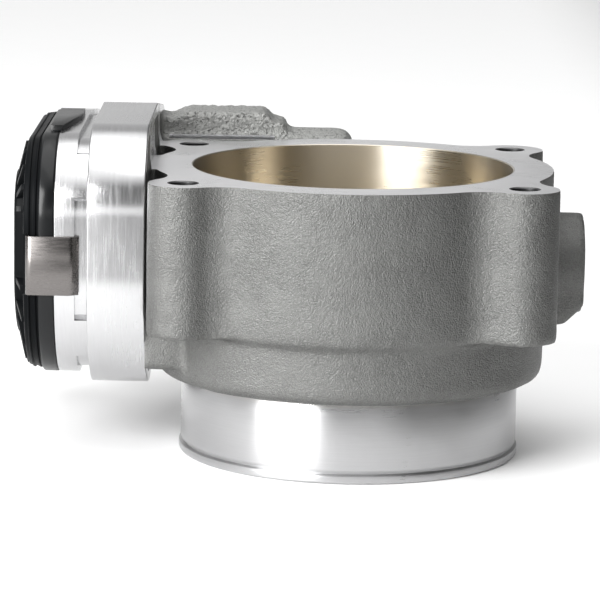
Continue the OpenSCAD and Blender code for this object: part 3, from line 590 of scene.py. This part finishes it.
class THROTTLE_OT_inner_finishes(Operator):
    """Give every CAD piece the procedural finish of its record slot"""

    bl_idname = "throttle.inner_finishes"
    bl_label = "Inner Finishes"

    def execute(self, context):
        made = {}
        for slot in RECORD["materials"]:
            build, constants = SLOT_RECIPES[slot["class"]]
            base = tuple(slot["base_color"])
            made[slot["slot"]] = material(slot["slot"], build(base), **constants)
        for part in RECORD["subparts"]:
            node = frame["nodes"][part["node"]]
            node.data.materials.clear()
            node.data.materials.append(made[part["material_slot"]])
            smooth_shaded(node)
        return {"FINISHED"}


# ---- Casting -------------------------------------------------------------------------------


def flange_outline(sizes, grow=0.0):
    """The flange seen from above: a circle with four ears and the fillets between them."""
    body, ear, fillet = sizes.flange_radius + grow, sizes.ear_radius + grow, sizes.ear_fillet - grow
    reach = math.hypot(sizes.bolt_x, sizes.bolt_y)
    lean = math.acos((reach**2 + (body + fillet) ** 2 - (ear + fillet) ** 2) / (2 * reach * (body + fillet)))
    points = []
    bolts = [(x * sizes.bolt_x, y * sizes.bolt_y) for x, y in ((1, 1), (-1, 1), (-1, -1), (1, -1))]
    for centre, following in zip(bolts, bolts[1:] + bolts[:1]):
        towards = math.atan2(centre[1], centre[0])
        turns = []
        for side in (-1, 1):
            # the fillet's centre, and the way from it to the ear
            at = towards + side * lean
            hollow = ((body + fillet) * math.cos(at), (body + fillet) * math.sin(at))
            to_ear = math.atan2(centre[1] - hollow[1], centre[0] - hollow[0])
            sweep = (to_ear - at) % FULL_TURN - math.pi
            curve = arc(hollow, fillet, at + math.pi, sweep, 10)
            turns.append((curve if side < 0 else curve[::-1], to_ear + math.pi))
        start, stop = turns[0][1], turns[1][1]
        points += turns[0][0]
        points += arc(centre, ear, start, (stop - start) % FULL_TURN, 24)[1:-1]
        points += turns[1][0]
        leave = towards + lean
        arrive = math.atan2(following[1], following[0]) - lean
        points += arc((0, 0), body, leave, (arrive - leave) % FULL_TURN, 20)[1:-1]
    return points


def housing_circles(sizes):
    """Circles (y, z, radius) round which the block, the rim and the gear chamber are drawn."""
    motor = (MOTOR.y, MOTOR.z)
    rim_top = sizes.block_top - sizes.rim_drop
    front = -sizes.front
    rim_front = front + sizes.rim_step
    corner, back = sizes.block_corner, 8 * MM
    rim_corner = corner - 2 * MM
    return {
        "block": [
            (front + corner, sizes.block_top - corner, corner),
            (SHAFT.y, SHAFT.z, sizes.front),
            (*motor, 30 * MM),
            (IDLER.y, sizes.block_top - back, back),
        ],
        "rim": [
            (rim_front + rim_corner, rim_top - rim_corner, rim_corner),
            (rim_front + sizes.rim_radius, SHAFT.z, sizes.rim_radius),
            (*motor, 28 * MM),
            (IDLER.y, rim_top - back, back),
        ],
        "chamber": [(SHAFT.y, SHAFT.z, 33.49 * MM), (IDLER.y, IDLER.z, 29.34 * MM), (*motor, 25 * MM)],
    }


def shaft_line(left, right):
    """The bore for the shaft, its seals and bearings, as a solid to cut with."""
    cup, bore, seal, race = 7 * MM + SEAT, 5.2 * MM, 8 * MM + SEAT, 13 * MM + SEAT
    cup_end, seal_start, race_start = -54 * MM, 56 * MM, 60 * MM
    steps = [
        (left, cup), (cup_end, cup), (cup_end, bore), (seal_start, bore),
        (seal_start, seal), (race_start, seal), (race_start, race), (right, race),
    ]
    return spun(steps, SHAFT, segments=64)


def motor_line(left):
    """The bore for the motor's can and its end boss."""
    can, boss, can_end, boss_end = 18.3 * MM, 6.5 * MM, -8.4 * MM, -4.9 * MM
    return spun([(left, can), (can_end, can), (can_end, boss), (boss_end, boss)], MOTOR, segments=96)


def cast_blank(sizes, housing):
    """The casting before any machining: overlapping shapes that are rounded together."""
    top, foot, hang = 1.5 * MM, 2.5 * MM, -sizes.cast_height
    barrel, pad_top = sizes.barrel_radius, MOTOR.z + sizes.barrel_radius + 6 * MM
    right = housing.block_right
    inside = right - MM
    body = spun(
        [(hang, sizes.foot_radius - foot), (hang + 0.3 * foot, sizes.foot_radius - 0.3 * foot),
         (hang + foot, sizes.foot_radius), (top, sizes.flange_radius)],
        (0, 0, 0), "Z", 160,
    )
    ears = plate_z(flange_outline(sizes), -sizes.ear_depth, top)
    boss_start = 53 * MM
    boss = spun([(boss_start, sizes.boss_radius), (sizes.boss_end, sizes.boss_radius)], SHAFT)
    foot_z, slope, half = SHAFT.z - 18.3 * MM, 6.4 * MM, 14 * MM
    saddle_line = [
        (boss_start, SHAFT.z), (sizes.boss_end, SHAFT.z), (sizes.boss_end, foot_z + slope),
        (sizes.boss_end - slope, foot_z), (boss_start, foot_z),
    ]
    saddle = loft([[(x, y, z) for x, z in saddle_line] for y in (-half, half)])
    end, nose = sizes.barrel_end, 5 * MM
    curve = [
        (end - nose + nose * math.sin(a), barrel - nose + nose * math.cos(a)) for a in EASED
    ]
    tube = spun([(inside, barrel)] + curve, MOTOR, segments=128)
    start = right + 4.5 * MM
    pad_line = [
        (inside, MOTOR.z), (inside, pad_top - 2.4 * MM), (start, pad_top - 2.4 * MM),
        (start + 3 * MM, pad_top), (start + 30 * MM, pad_top), (start + 33.5 * MM, pad_top - 3.2 * MM),
        (start + 36.5 * MM, pad_top - 3.4 * MM), (start + 38.5 * MM, pad_top - 6.8 * MM),
        (start + 38.5 * MM, MOTOR.z),
    ]
    pad = loft([[(x, y, z) for x, z in pad_line] for y in (MOTOR.y - 9 * MM, MOTOR.y + 11 * MM)])
    web = block((inside, -34 * MM, SHAFT.z - 31 * MM), (-44.7 * MM, 54 * MM, -5 * MM))
    tongue = block((inside, -9 * MM, -9 * MM), (-56 * MM, 9 * MM, top))
    shelf = block((inside, 30 * MM, -35 * MM), (end - 12 * MM, MOTOR.y, -13 * MM))
    ledge = block((inside, 40 * MM, -24 * MM), (-27 * MM, 68 * MM, -0.9 * MM))
    inset = -1.2 * MM
    stub = prism_x(housing_circles(housing)["block"], [(right - 6 * MM, inset), (right + 0.1 * MM, inset)])
    return gathered(body, ears, boss, saddle, tube, pad, web, tongue, shelf, ledge, stub)


def roughened(made):
    """Moves made's points to an uneven cast surface: slow waves everywhere, lumps on the barrel's pad."""
    outward = [vertex.normal.copy() for vertex in made.data.vertices]
    moved = []
    for vertex, normal in zip(made.data.vertices, outward):
        place = vertex.co
        wave = noise.noise(place * 160) * 0.10 * MM
        if place.x < -20 * MM and place.y > 62 * MM and place.z > -4 * MM:
            wave += noise.noise(place * 700) * 0.45 * MM
        moved.extend(place + normal * wave)
    made.data.vertices.foreach_set("co", moved)
    made.data.update()


class THROTTLE_OT_casting(Operator):
    """Build the sand-cast body and cut its machined faces"""

    bl_idname = "throttle.casting"
    bl_label = "Casting"

    def execute(self, context):
        sizes, housing = context.scene.throttle_body, context.scene.throttle_housing
        finishes = [finish(name) for name in ("cast", "faced", "shaded_hole")]
        made = solid("body_casting", cast_blank(sizes, housing), finishes)
        skin = made.modifiers.new("skin", "REMESH")
        skin.mode = "VOXEL"
        skin.voxel_size = sizes.grain
        settled(made)
        soften = made.modifiers.new("soften", "SMOOTH")
        soften.factor = 0.5
        soften.iterations = 9
        settled(made)
        roughened(made)
        deep, above, hole = -0.12, 0.03, sizes.bolt_radius
        chamfer, sleeve = hole + 0.5 * MM, sizes.bore_radius + 0.5 * MM
        line = [(deep, hole), (-0.4 * MM, hole), (0.1 * MM, chamfer), (0.01, chamfer)]
        holes = [
            spun(line, (x * sizes.bolt_x, y * sizes.bolt_y, 0), "Z", 48) for x in (1, -1) for y in (1, -1)
        ]
        cuts = [
            plate_z(flange_outline(sizes, 1.6 * MM), 0, above),
            spun([(deep, sleeve), (above, sleeve)], (0, 0, 0), "Z", 256),
            shaft_line(-FAR, FAR),
            motor_line(-FAR),
            block((-FAR, -FAR, -FAR), (housing.block_right - 0.02 * MM, 0.12, above)),
            block((-61.5 * MM, 64.6 * MM, -0.9 * MM), (-26 * MM, 74 * MM, 0.35 * MM)),
        ]
        for cut in cuts:
            combined(made, cut)
        # the bolt holes' walls take the painted-shade hole finish
        combined(made, gathered(*holes), index=2)
        smooth_shaded(made, 35)
        placed(made, "housing", "cast_aluminium", "throttle_casting")
        return {"FINISHED"}


class THROTTLE_OT_neck(Operator):
    """Build the turned inlet neck with its bead, and the wall of the bore"""

    bl_idname = "throttle.neck"
    bl_label = "Neck and Bore"

    def execute(self, context):
        sizes = context.scene.throttle_body
        end, bore, neck, bead = -sizes.body_height, sizes.bore_radius, sizes.neck_radius, sizes.bead_radius
        bead_top = end + sizes.bead_height
        profile = [
            (-0.25 * MM, bore), (0, bore + 0.25 * MM), (0, bore + 0.5 * MM), (-65.6 * MM, bore + 0.5 * MM),
            (-65.6 * MM, neck - 0.2 * MM), (-65.9 * MM, neck), (bead_top + 1.5 * MM, neck),
            (bead_top + 1.0 * MM, neck - 0.12 * MM), (bead_top + 0.5 * MM, neck - 0.5 * MM),
            (bead_top + 0.15 * MM, neck - 0.5 * MM), (bead_top - 0.1 * MM, neck),
            (bead_top - 0.35 * MM, bead - 0.1 * MM), (bead_top - 0.7 * MM, bead), (end + 0.8 * MM, bead),
            (end + 0.35 * MM, bead - 0.15 * MM), (end + 0.1 * MM, bead - 0.5 * MM), (end, bead - 1.0 * MM),
            (end, bore + 0.6 * MM), (end + 0.6 * MM, bore),
        ]
        made = solid("inlet_neck", spun(profile, (0, 0, 0), "Z", 256, wrap=True), (finish("turned"),))
        combined(made, shaft_line(-FAR, FAR))
        smooth_shaded(made, 40)
        placed(made, "housing", "cast_aluminium", "throttle_casting")
        return {"FINISHED"}


class THROTTLE_OT_housing(Operator):
    """Build the milled gear housing: block, rim, clip groove and the chamber inside"""

    bl_idname = "throttle.housing"
    bl_label = "Gear Housing"

    def execute(self, context):
        sizes = context.scene.throttle_housing
        shapes = housing_circles(sizes)
        rim, chamber = shapes["rim"], shapes["chamber"]
        left, right, groove = sizes.block_left, sizes.block_right, sizes.groove_left
        finishes = (finish("milled"), finish("faced"))
        body = prism_x(shapes["block"], rounded(left, right, 0.5 * MM), 40)
        made = solid("gear_housing", body, finishes)
        edge = solid("rim", prism_x(rim, rounded(sizes.joint, left + 2 * MM, 0.35 * MM), 40), finishes)
        ring = solid("ring", prism_x(rim, [(groove, 8 * MM), (left, 8 * MM)], 40))
        deep = -sizes.groove_depth
        combined(ring, prism_x(rim, [(groove - MM, deep), (left + MM, deep)], 40))
        front = -sizes.front - MM
        for low, high, reach in (
            (SHAFT.z + 23.4 * MM, SHAFT.z + 36.2 * MM, 22 * MM),
            (SHAFT.z - 28 * MM, SHAFT.z - 15 * MM, 26 * MM),
        ):
            combined(ring, block((groove - MM, front, low), (left + MM, front + reach, high)))
        combined(edge, shape_of(ring))
        combined(made, shape_of(edge), "UNION")
        for spare in (ring, edge):
            bpy.data.objects.remove(spare)
        outside, inner, outer, pocket_end = sizes.floor - MM, 9.62 * MM, 19.8 * MM, -68 * MM
        pocket = [(outside, inner), (outside, outer), (pocket_end, outer), (pocket_end, inner)]
        pin = 2.52 * MM
        cuts = [
            prism_x(chamber, [(sizes.joint - MM, 0), (sizes.floor, 0)], 40),
            spun(pocket, SHAFT, segments=64, wrap=True),
            shaft_line(-77.5 * MM, FAR),
            motor_line(outside),
            spun([(outside, pin), (-71 * MM, pin)], IDLER, segments=32),
        ]
        for cut in cuts:
            combined(made, cut)
        smooth_shaded(made, 28)
        placed(made, "housing", "cast_aluminium", "throttle_casting")
        return {"FINISHED"}


# ---- Cover and clips -----------------------------------------------------------------------


def clip_places(sizes):
    """Where the clips sit on the rim: (y, z, angle of the outward normal)."""
    rim = housing_circles(sizes)["rim"]
    front = (-sizes.front + sizes.rim_step, SHAFT.z + 2.7 * MM, math.pi)
    places = [front, (rim[2][0] + rim[2][2], MOTOR.z, 0)]
    for i, share in ((1, 0.08), (1, 0.6)):
        here, there = rim[i], rim[i + 1]
        du, dv = there[0] - here[0], there[1] - here[1]
        turn = math.atan2(dv, du) - math.acos((here[2] - there[2]) / math.hypot(du, dv))
        first = (here[0] + here[2] * math.cos(turn), here[1] + here[2] * math.sin(turn))
        second = (there[0] + there[2] * math.cos(turn), there[1] + there[2] * math.sin(turn))
        at = [a + (b - a) * share for a, b in zip(first, second)]
        places.append((*at, math.atan2(second[1] - first[1], second[0] - first[0]) - math.pi / 2))
    return places


def at_clip(points, where):
    """Points (x, outward, along) moved to a clip's place."""
    y, z, angle = where
    c, s = math.cos(angle), math.sin(angle)
    return [(x, y + out * c - side * s, z + out * s + side * c) for x, out, side in points]


def rib(corner, angle, sizes, thickness=1.6 * MM):
    """A wedge from the cover's band up to its dome, at an angle round one of the rim's circles."""
    y, z, radius = corner
    foot, head = radius - 2.6 * MM, radius - 12 * MM
    line = [
        (sizes.dome + 0.7 * MM, head - 1.5 * MM), (sizes.dome + 0.7 * MM, head + 0.4 * MM),
        (sizes.band - 0.7 * MM, foot), (sizes.band + 0.6 * MM, foot), (sizes.band + 0.6 * MM, head - 1.5 * MM),
    ]
    c, s = math.cos(angle), math.sin(angle)
    return loft([
        [(x, y + out * c - side * s, z + out * s + side * c) for x, out in line]
        for side in (-thickness / 2, thickness / 2)
    ])


class THROTTLE_OT_cover(Operator):
    """Build the black moulded cover with its flange, beads, ribs, dome and connector"""

    bl_idname = "throttle.cover"
    bl_label = "Gear Cover"

    def execute(self, context):
        sizes = context.scene.throttle_housing
        shapes = housing_circles(sizes)
        rim, chamber = shapes["rim"], shapes["chamber"]
        joint, band, dome = sizes.joint, sizes.band, sizes.dome
        side = [
            (joint - 0.02 * MM, -0.5 * MM), (joint - 0.3 * MM, -0.1 * MM), (joint - 0.6 * MM, 0),
            (joint - 4.3 * MM, 0), (joint - 4.8 * MM, -0.2 * MM), (joint - 5.1 * MM, -0.7 * MM),
            (joint - 5.15 * MM, -1.5 * MM), (joint - 5.6 * MM, -1.5 * MM), (joint - 5.8 * MM, -1.1 * MM),
            (joint - 6.2 * MM, -1.1 * MM), (joint - 6.4 * MM, -1.5 * MM), (joint - 7.6 * MM, -1.6 * MM),
            (joint - 7.8 * MM, -1.2 * MM), (joint - 8.2 * MM, -1.2 * MM), (joint - 8.4 * MM, -1.7 * MM),
            (band + 0.5 * MM, -1.9 * MM), (band + 0.15 * MM, -2.2 * MM), (band, -2.8 * MM),
        ]
        made = solid("gear_cover_shell", prism_x(rim, side, 40), (finish("cover"),))
        cap = [(u, v, r - 12 * MM) for u, v, r in rim[:3]]
        dome_side = [
            (band + MM, 1.2 * MM), (dome + 1.2 * MM, 0.2 * MM), (dome + 0.5 * MM, -0.1 * MM),
            (dome + 0.12 * MM, -0.6 * MM), (dome, -1.4 * MM),
        ]
        combined(made, prism_x(cap, dome_side, 40), "UNION")
        turn = math.radians(18)
        wedges = [rib(rim[0], math.radians(99) + turn * k, sizes) for k in range(sizes.ribs - 1)]
        wedges += [rib(rim[1], math.radians(189) + turn * k, sizes) for k in range(sizes.ribs)]
        wedges += [rib(rim[2], math.radians(-72) + turn * k, sizes) for k in range(sizes.ribs + 2)]
        for wedge in wedges:
            combined(made, wedge, "UNION")
        tab = [
            (joint - 3 * MM, -14 * MM), (joint + 0.8 * MM, -14 * MM), (joint + 4.8 * MM, 16 * MM),
            (joint + 4.8 * MM, 30 * MM), (joint - 3 * MM, 30 * MM),
        ]
        combined(made, plate_z(tab, sizes.block_top - sizes.rim_drop, sizes.block_top - MM), "UNION")
        left, right, low = band - 2.9 * MM, joint - MM, MOTOR.z - 47 * MM
        front, back, wall = MOTOR.y - 16 * MM, MOTOR.y + 16 * MM, 2 * MM
        socket = rounded_box((left, front, low), (right, back, MOTOR.z - 10 * MM), 1.4 * MM)
        combined(made, socket, "UNION")
        mouth = block((left + wall, front + wall, low - MM), (right - wall, back - wall, low + 15 * MM))
        cuts = [prism_x(chamber, [(band + sizes.cover_wall, -MM), (joint + 0.5 * MM, -MM)], 40), mouth]
        half, deep, out = sizes.clip_width / 2 + 0.3 * MM, -4.2 * MM, 8 * MM
        corners = [(deep, -half), (out, -half), (out, half), (deep, half)]
        for where in clip_places(sizes):
            notch = [at_clip([(x, *corner) for corner in corners], where) for x in (dome - MM, band + 2 * MM)]
            cuts.append(loft(notch))
        for cut in cuts:
            combined(made, cut)
        bevel = made.modifiers.new("edges", "BEVEL")
        bevel.width = 0.18 * MM
        bevel.segments = 2
        bevel.limit_method = "ANGLE"
        bevel.angle_limit = math.radians(50)
        settled(made)
        smooth_shaded(made, 40)
        placed(made, "housing", "cover_plastic", "gear_cover")
        return {"FINISHED"}


def rounded_box(low, high, radius, steps=5):
    """A box with rounded upright edges."""
    left, front, right, back = low[0] + radius, low[1] + radius, high[0] - radius, high[1] - radius
    points = []
    for quarter, centre in enumerate(((right, back), (left, back), (left, front), (right, front))):
        points += arc(centre, radius, quarter * QUARTER, QUARTER, steps)
    return plate_z(points, low[2], high[2])


class THROTTLE_OT_clips(Operator):
    """Build the bent stainless clips that hold the cover"""

    bl_idname = "throttle.clips"
    bl_label = "Cover Clips"

    def execute(self, context):
        sizes = context.scene.throttle_housing
        half, thick = sizes.clip_width / 2, sizes.clip_thickness
        head, foot = sizes.band + 1.9 * MM, sizes.groove_left + 0.7 * MM
        inner, lift = 0.9 * MM, 0.12 * MM
        line = [(head, -3.4 * MM, 1, 0)]
        line += [
            (head + inner - inner * math.cos(a), lift - inner + inner * math.sin(a), math.cos(a), -math.sin(a))
            for a in EASED
        ]
        bend, slant, hook = 1.1 * MM, 0.72, 2.3 * MM
        start = foot - hook * math.cos(slant) - bend * math.sin(slant)
        line += [
            (start + bend * math.sin(a), lift - bend + bend * math.cos(a), -math.sin(a), -math.cos(a))
            for a in (0, slant / 2, slant)
        ]
        x, out, *inward = line[-1]
        line.append((x + hook * math.cos(slant), out - hook * math.sin(slant), *inward))
        trim = 0.12 * MM
        section = [
            (0, -half + trim), (trim, -half), (thick - trim, -half), (thick, -half + trim),
            (thick, half - trim), (thick - trim, half), (trim, half), (0, half - trim),
        ]
        shapes = []
        for where in clip_places(sizes):
            rings = []
            for x, out, inward_x, inward_out in line:
                corners = [
                    (x - inward_x * (thick - deep), out - inward_out * (thick - deep), along)
                    for deep, along in section
                ]
                rings.append(at_clip(corners, where))
            shapes.append(loft(rings))
        made = solid("spring_clips", gathered(*shapes), (finish("clip"),))
        smooth_shaded(made, 50)
        placed(made, "housing", "clip_steel", "cover_clips")
        return {"FINISHED"}


class THROTTLE_OT_spring(Operator):
    """Build the return spring, which winds up between the housing and the sector gear"""

    bl_idname = "throttle.spring"
    bl_label = "Return Spring"

    def execute(self, context):
        sizes = context.scene.throttle_housing
        low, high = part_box("return_spring")
        wire = sizes.spring_wire / 2
        reach = (high.y - low.y) / 2 - wire
        start, stop = sizes.floor + 1.7 * MM, high.x - 3.7 * MM
        first, turns, steps, sides = math.radians(200), 3.5, 168, 12
        last, edge = first - FULL_TURN * turns, 0.2 * MM
        rings = []
        for k in range(steps + 1):
            a = first - FULL_TURN * turns * k / steps
            ring = []
            for i in range(sides):
                b = FULL_TURN * i / sides
                out = reach + wire * math.cos(b)
                x = stop + (start - stop) * k / steps + wire * math.sin(b)
                ring.append((x, SHAFT.y + out * math.cos(a), SHAFT.z + out * math.sin(a)))
            rings.append(ring)
        legs = []
        for a, left, right in ((first, stop - MM, high.x), (last, low.x, start + MM)):
            centre = (0, SHAFT.y + reach * math.cos(a), SHAFT.z + reach * math.sin(a))
            line = [(left, wire - edge), (left + edge, wire), (right - edge, wire), (right, wire - edge)]
            legs.append(spun(line, centre, segments=16))
        steel = bpy.data.materials["spring_steel"]
        made = solid("wound_spring", gathered(loft(rings), *legs), (steel,))
        smooth_shaded(made, 40)
        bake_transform(made)
        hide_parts("return_spring")
        return {"FINISHED"}


# ---- Studio --------------------------------------------------------------------------------


def softbox(name, place, target, size, power):
    """A rectangular light aimed at a point."""
    data = bpy.data.lights.new(name, "AREA")
    data.shape = "RECTANGLE"
    data.size, data.size_y = size
    data.energy = power
    lamp = bpy.data.objects.new(name, data)
    lamp.location = place
    lamp.rotation_euler = (Vector(target) - Vector(place)).to_track_quat("-Z", "Y").to_euler()
    lamp.visible_camera = False
    bpy.context.scene.collection.objects.link(lamp)


def studio_walls(strength):
    """Studio walls by direction: grey backdrop, dark room behind the camera, bright horizon and ceiling."""
    world = bpy.data.worlds.new("studio")
    world.use_nodes = True
    tree = world.node_tree
    tree.nodes.clear()
    start = Wire(tree)
    x, y, z = split(start.add("ShaderNodeTexCoord", output="Generated"))
    room = z.add("ShaderNodeValToRGB", {"stops": [
        (0.0, 0.75), (0.06, 0.95), (0.15, 0.85), (0.20, 0.16), (0.60, 0.11), (0.80, 0.90), (1.0, 1.0),
    ]}, {"Fac": z})
    backdrop = z.add("ShaderNodeValToRGB", {"stops": [
        (0.0, 0.42), (0.35, 0.36), (0.7, 0.30), (0.82, 0.9), (1.0, 1.0),
    ]}, {"Fac": z})
    far = x.between(0.02, 0.12).mixed(backdrop, (0.12, 0.12, 0.12, 1))
    far = z.between(0.7, 0.85).mixed(far, backdrop)
    side = x.between(0.25, 0.8).mixed(room, (0.03, 0.03, 0.028, 1))
    walls = y.between(-0.15, 0.35).mixed(side, far)
    light = start.add("ShaderNodeBackground", None, {"Color": walls, "Strength": strength})
    start.add("ShaderNodeOutputWorld", None, {"Surface": light})
    bpy.context.scene.world = world


class THROTTLE_OT_studio(Operator):
    """Build the floor, the soft lights and the camera"""

    bl_idname = "throttle.studio"
    bl_label = "Studio"

    def execute(self, context):
        studio, scene = context.scene.throttle_studio, context.scene
        ground = CASTING_LOW.z
        reach = 3.4
        points = [(reach * x, reach * y, ground) for x, y in ((-1, -1), (1, -1), (1, 1), (-1, 1))]

        def recipe(place):
            x, y, _ = split(place)
            speck = place.noise(60, 2.0, 0.5)
            tone = tuple(scene.throttle_finishes.floor)
            # painted shade: the floor out of view is darkened to the surround tone
            outer = place.maths("MAXIMUM", (0.0 - y).between(0.16, 0.36), x.between(0.13, 0.35))
            near = speck.mixed(shade(tone, 0.985), shade(tone, 1.0))
            return {"Base Color": outer.mixed(near, shade(tone, studio.shaded_surround))}

        paper = material("floor_paper", recipe, Roughness=0.75)
        sweep = solid("floor_sweep", (points, [(0, 1, 2, 3)]), (paper,))
        softbox("overhead", (-0.10, -0.10, 1.15), (0, 0, -0.03), (1.3, 0.9), studio.overhead)
        softbox("left_strip", (-0.80, -0.89, 0.36), (0, 0, -0.05), (0.85, 0.8), studio.left)
        studio_walls(studio.ambient)
        data = bpy.data.cameras.new("view")
        data.lens, data.sensor_width = studio.lens, 36
        data.clip_start, data.clip_end = 0.01, 20
        camera = bpy.data.objects.new("view", data)
        place, target = Vector((-0.0108, -1.1064, 0.1543)), Vector((-0.016162, 0, -0.043838))
        aim = (target - place).to_track_quat("-Z", "Y").to_matrix().to_4x4()
        camera.matrix_world = Matrix.Translation(place) @ aim @ Matrix.Rotation(math.radians(1.0), 4, "Z")
        scene.collection.objects.link(camera)
        scene.camera = camera
        scene.view_settings.view_transform = "Standard"
        return {"FINISHED"}


OPERATORS = (
    THROTTLE_OT_inner_finishes,
    THROTTLE_OT_casting,
    THROTTLE_OT_neck,
    THROTTLE_OT_housing,
    THROTTLE_OT_cover,
    THROTTLE_OT_clips,
    THROTTLE_OT_spring,
    THROTTLE_OT_studio,
)
GROUPS = {
    "throttle_body": ThrottleBodySizes,
    "throttle_housing": ThrottleHousingSizes,
    "throttle_finishes": ThrottleFinishes,
    "throttle_studio": ThrottleStudio,
}


class THROTTLE_PT_panel(Panel):
    """Sizes, finishes and steps of the throttle body"""

    bl_label = "Throttle Body"
    bl_space_type = "VIEW_3D"
    bl_region_type = "UI"
    bl_category = "Throttle"

    def draw(self, context):
        for operator in OPERATORS:
            self.layout.operator(operator.bl_idname)
        for name, group in GROUPS.items():
            box = self.layout.box()
            for key in group.__annotations__:
                box.prop(getattr(context.scene, name), key)


def register():
    for group in GROUPS.values():
        bpy.utils.register_class(group)
    for name, group in GROUPS.items():
        setattr(bpy.types.Scene, name, PointerProperty(type=group))
    for operator in OPERATORS:
        bpy.utils.register_class(operator)
    bpy.utils.register_class(THROTTLE_PT_panel)


def unregister():
    bpy.utils.unregister_class(THROTTLE_PT_panel)
    for operator in reversed(OPERATORS):
        bpy.utils.unregister_class(operator)
    for name, group in reversed(GROUPS.items()):
        delattr(bpy.types.Scene, name)
        bpy.utils.unregister_class(group)


def main():
    """Builds the whole model in order."""
    register()
    for operator in OPERATORS:
        space, name = operator.bl_idname.split(".")
        getattr(getattr(bpy.ops, space), name)()


if __name__ == "__main__":
    main()
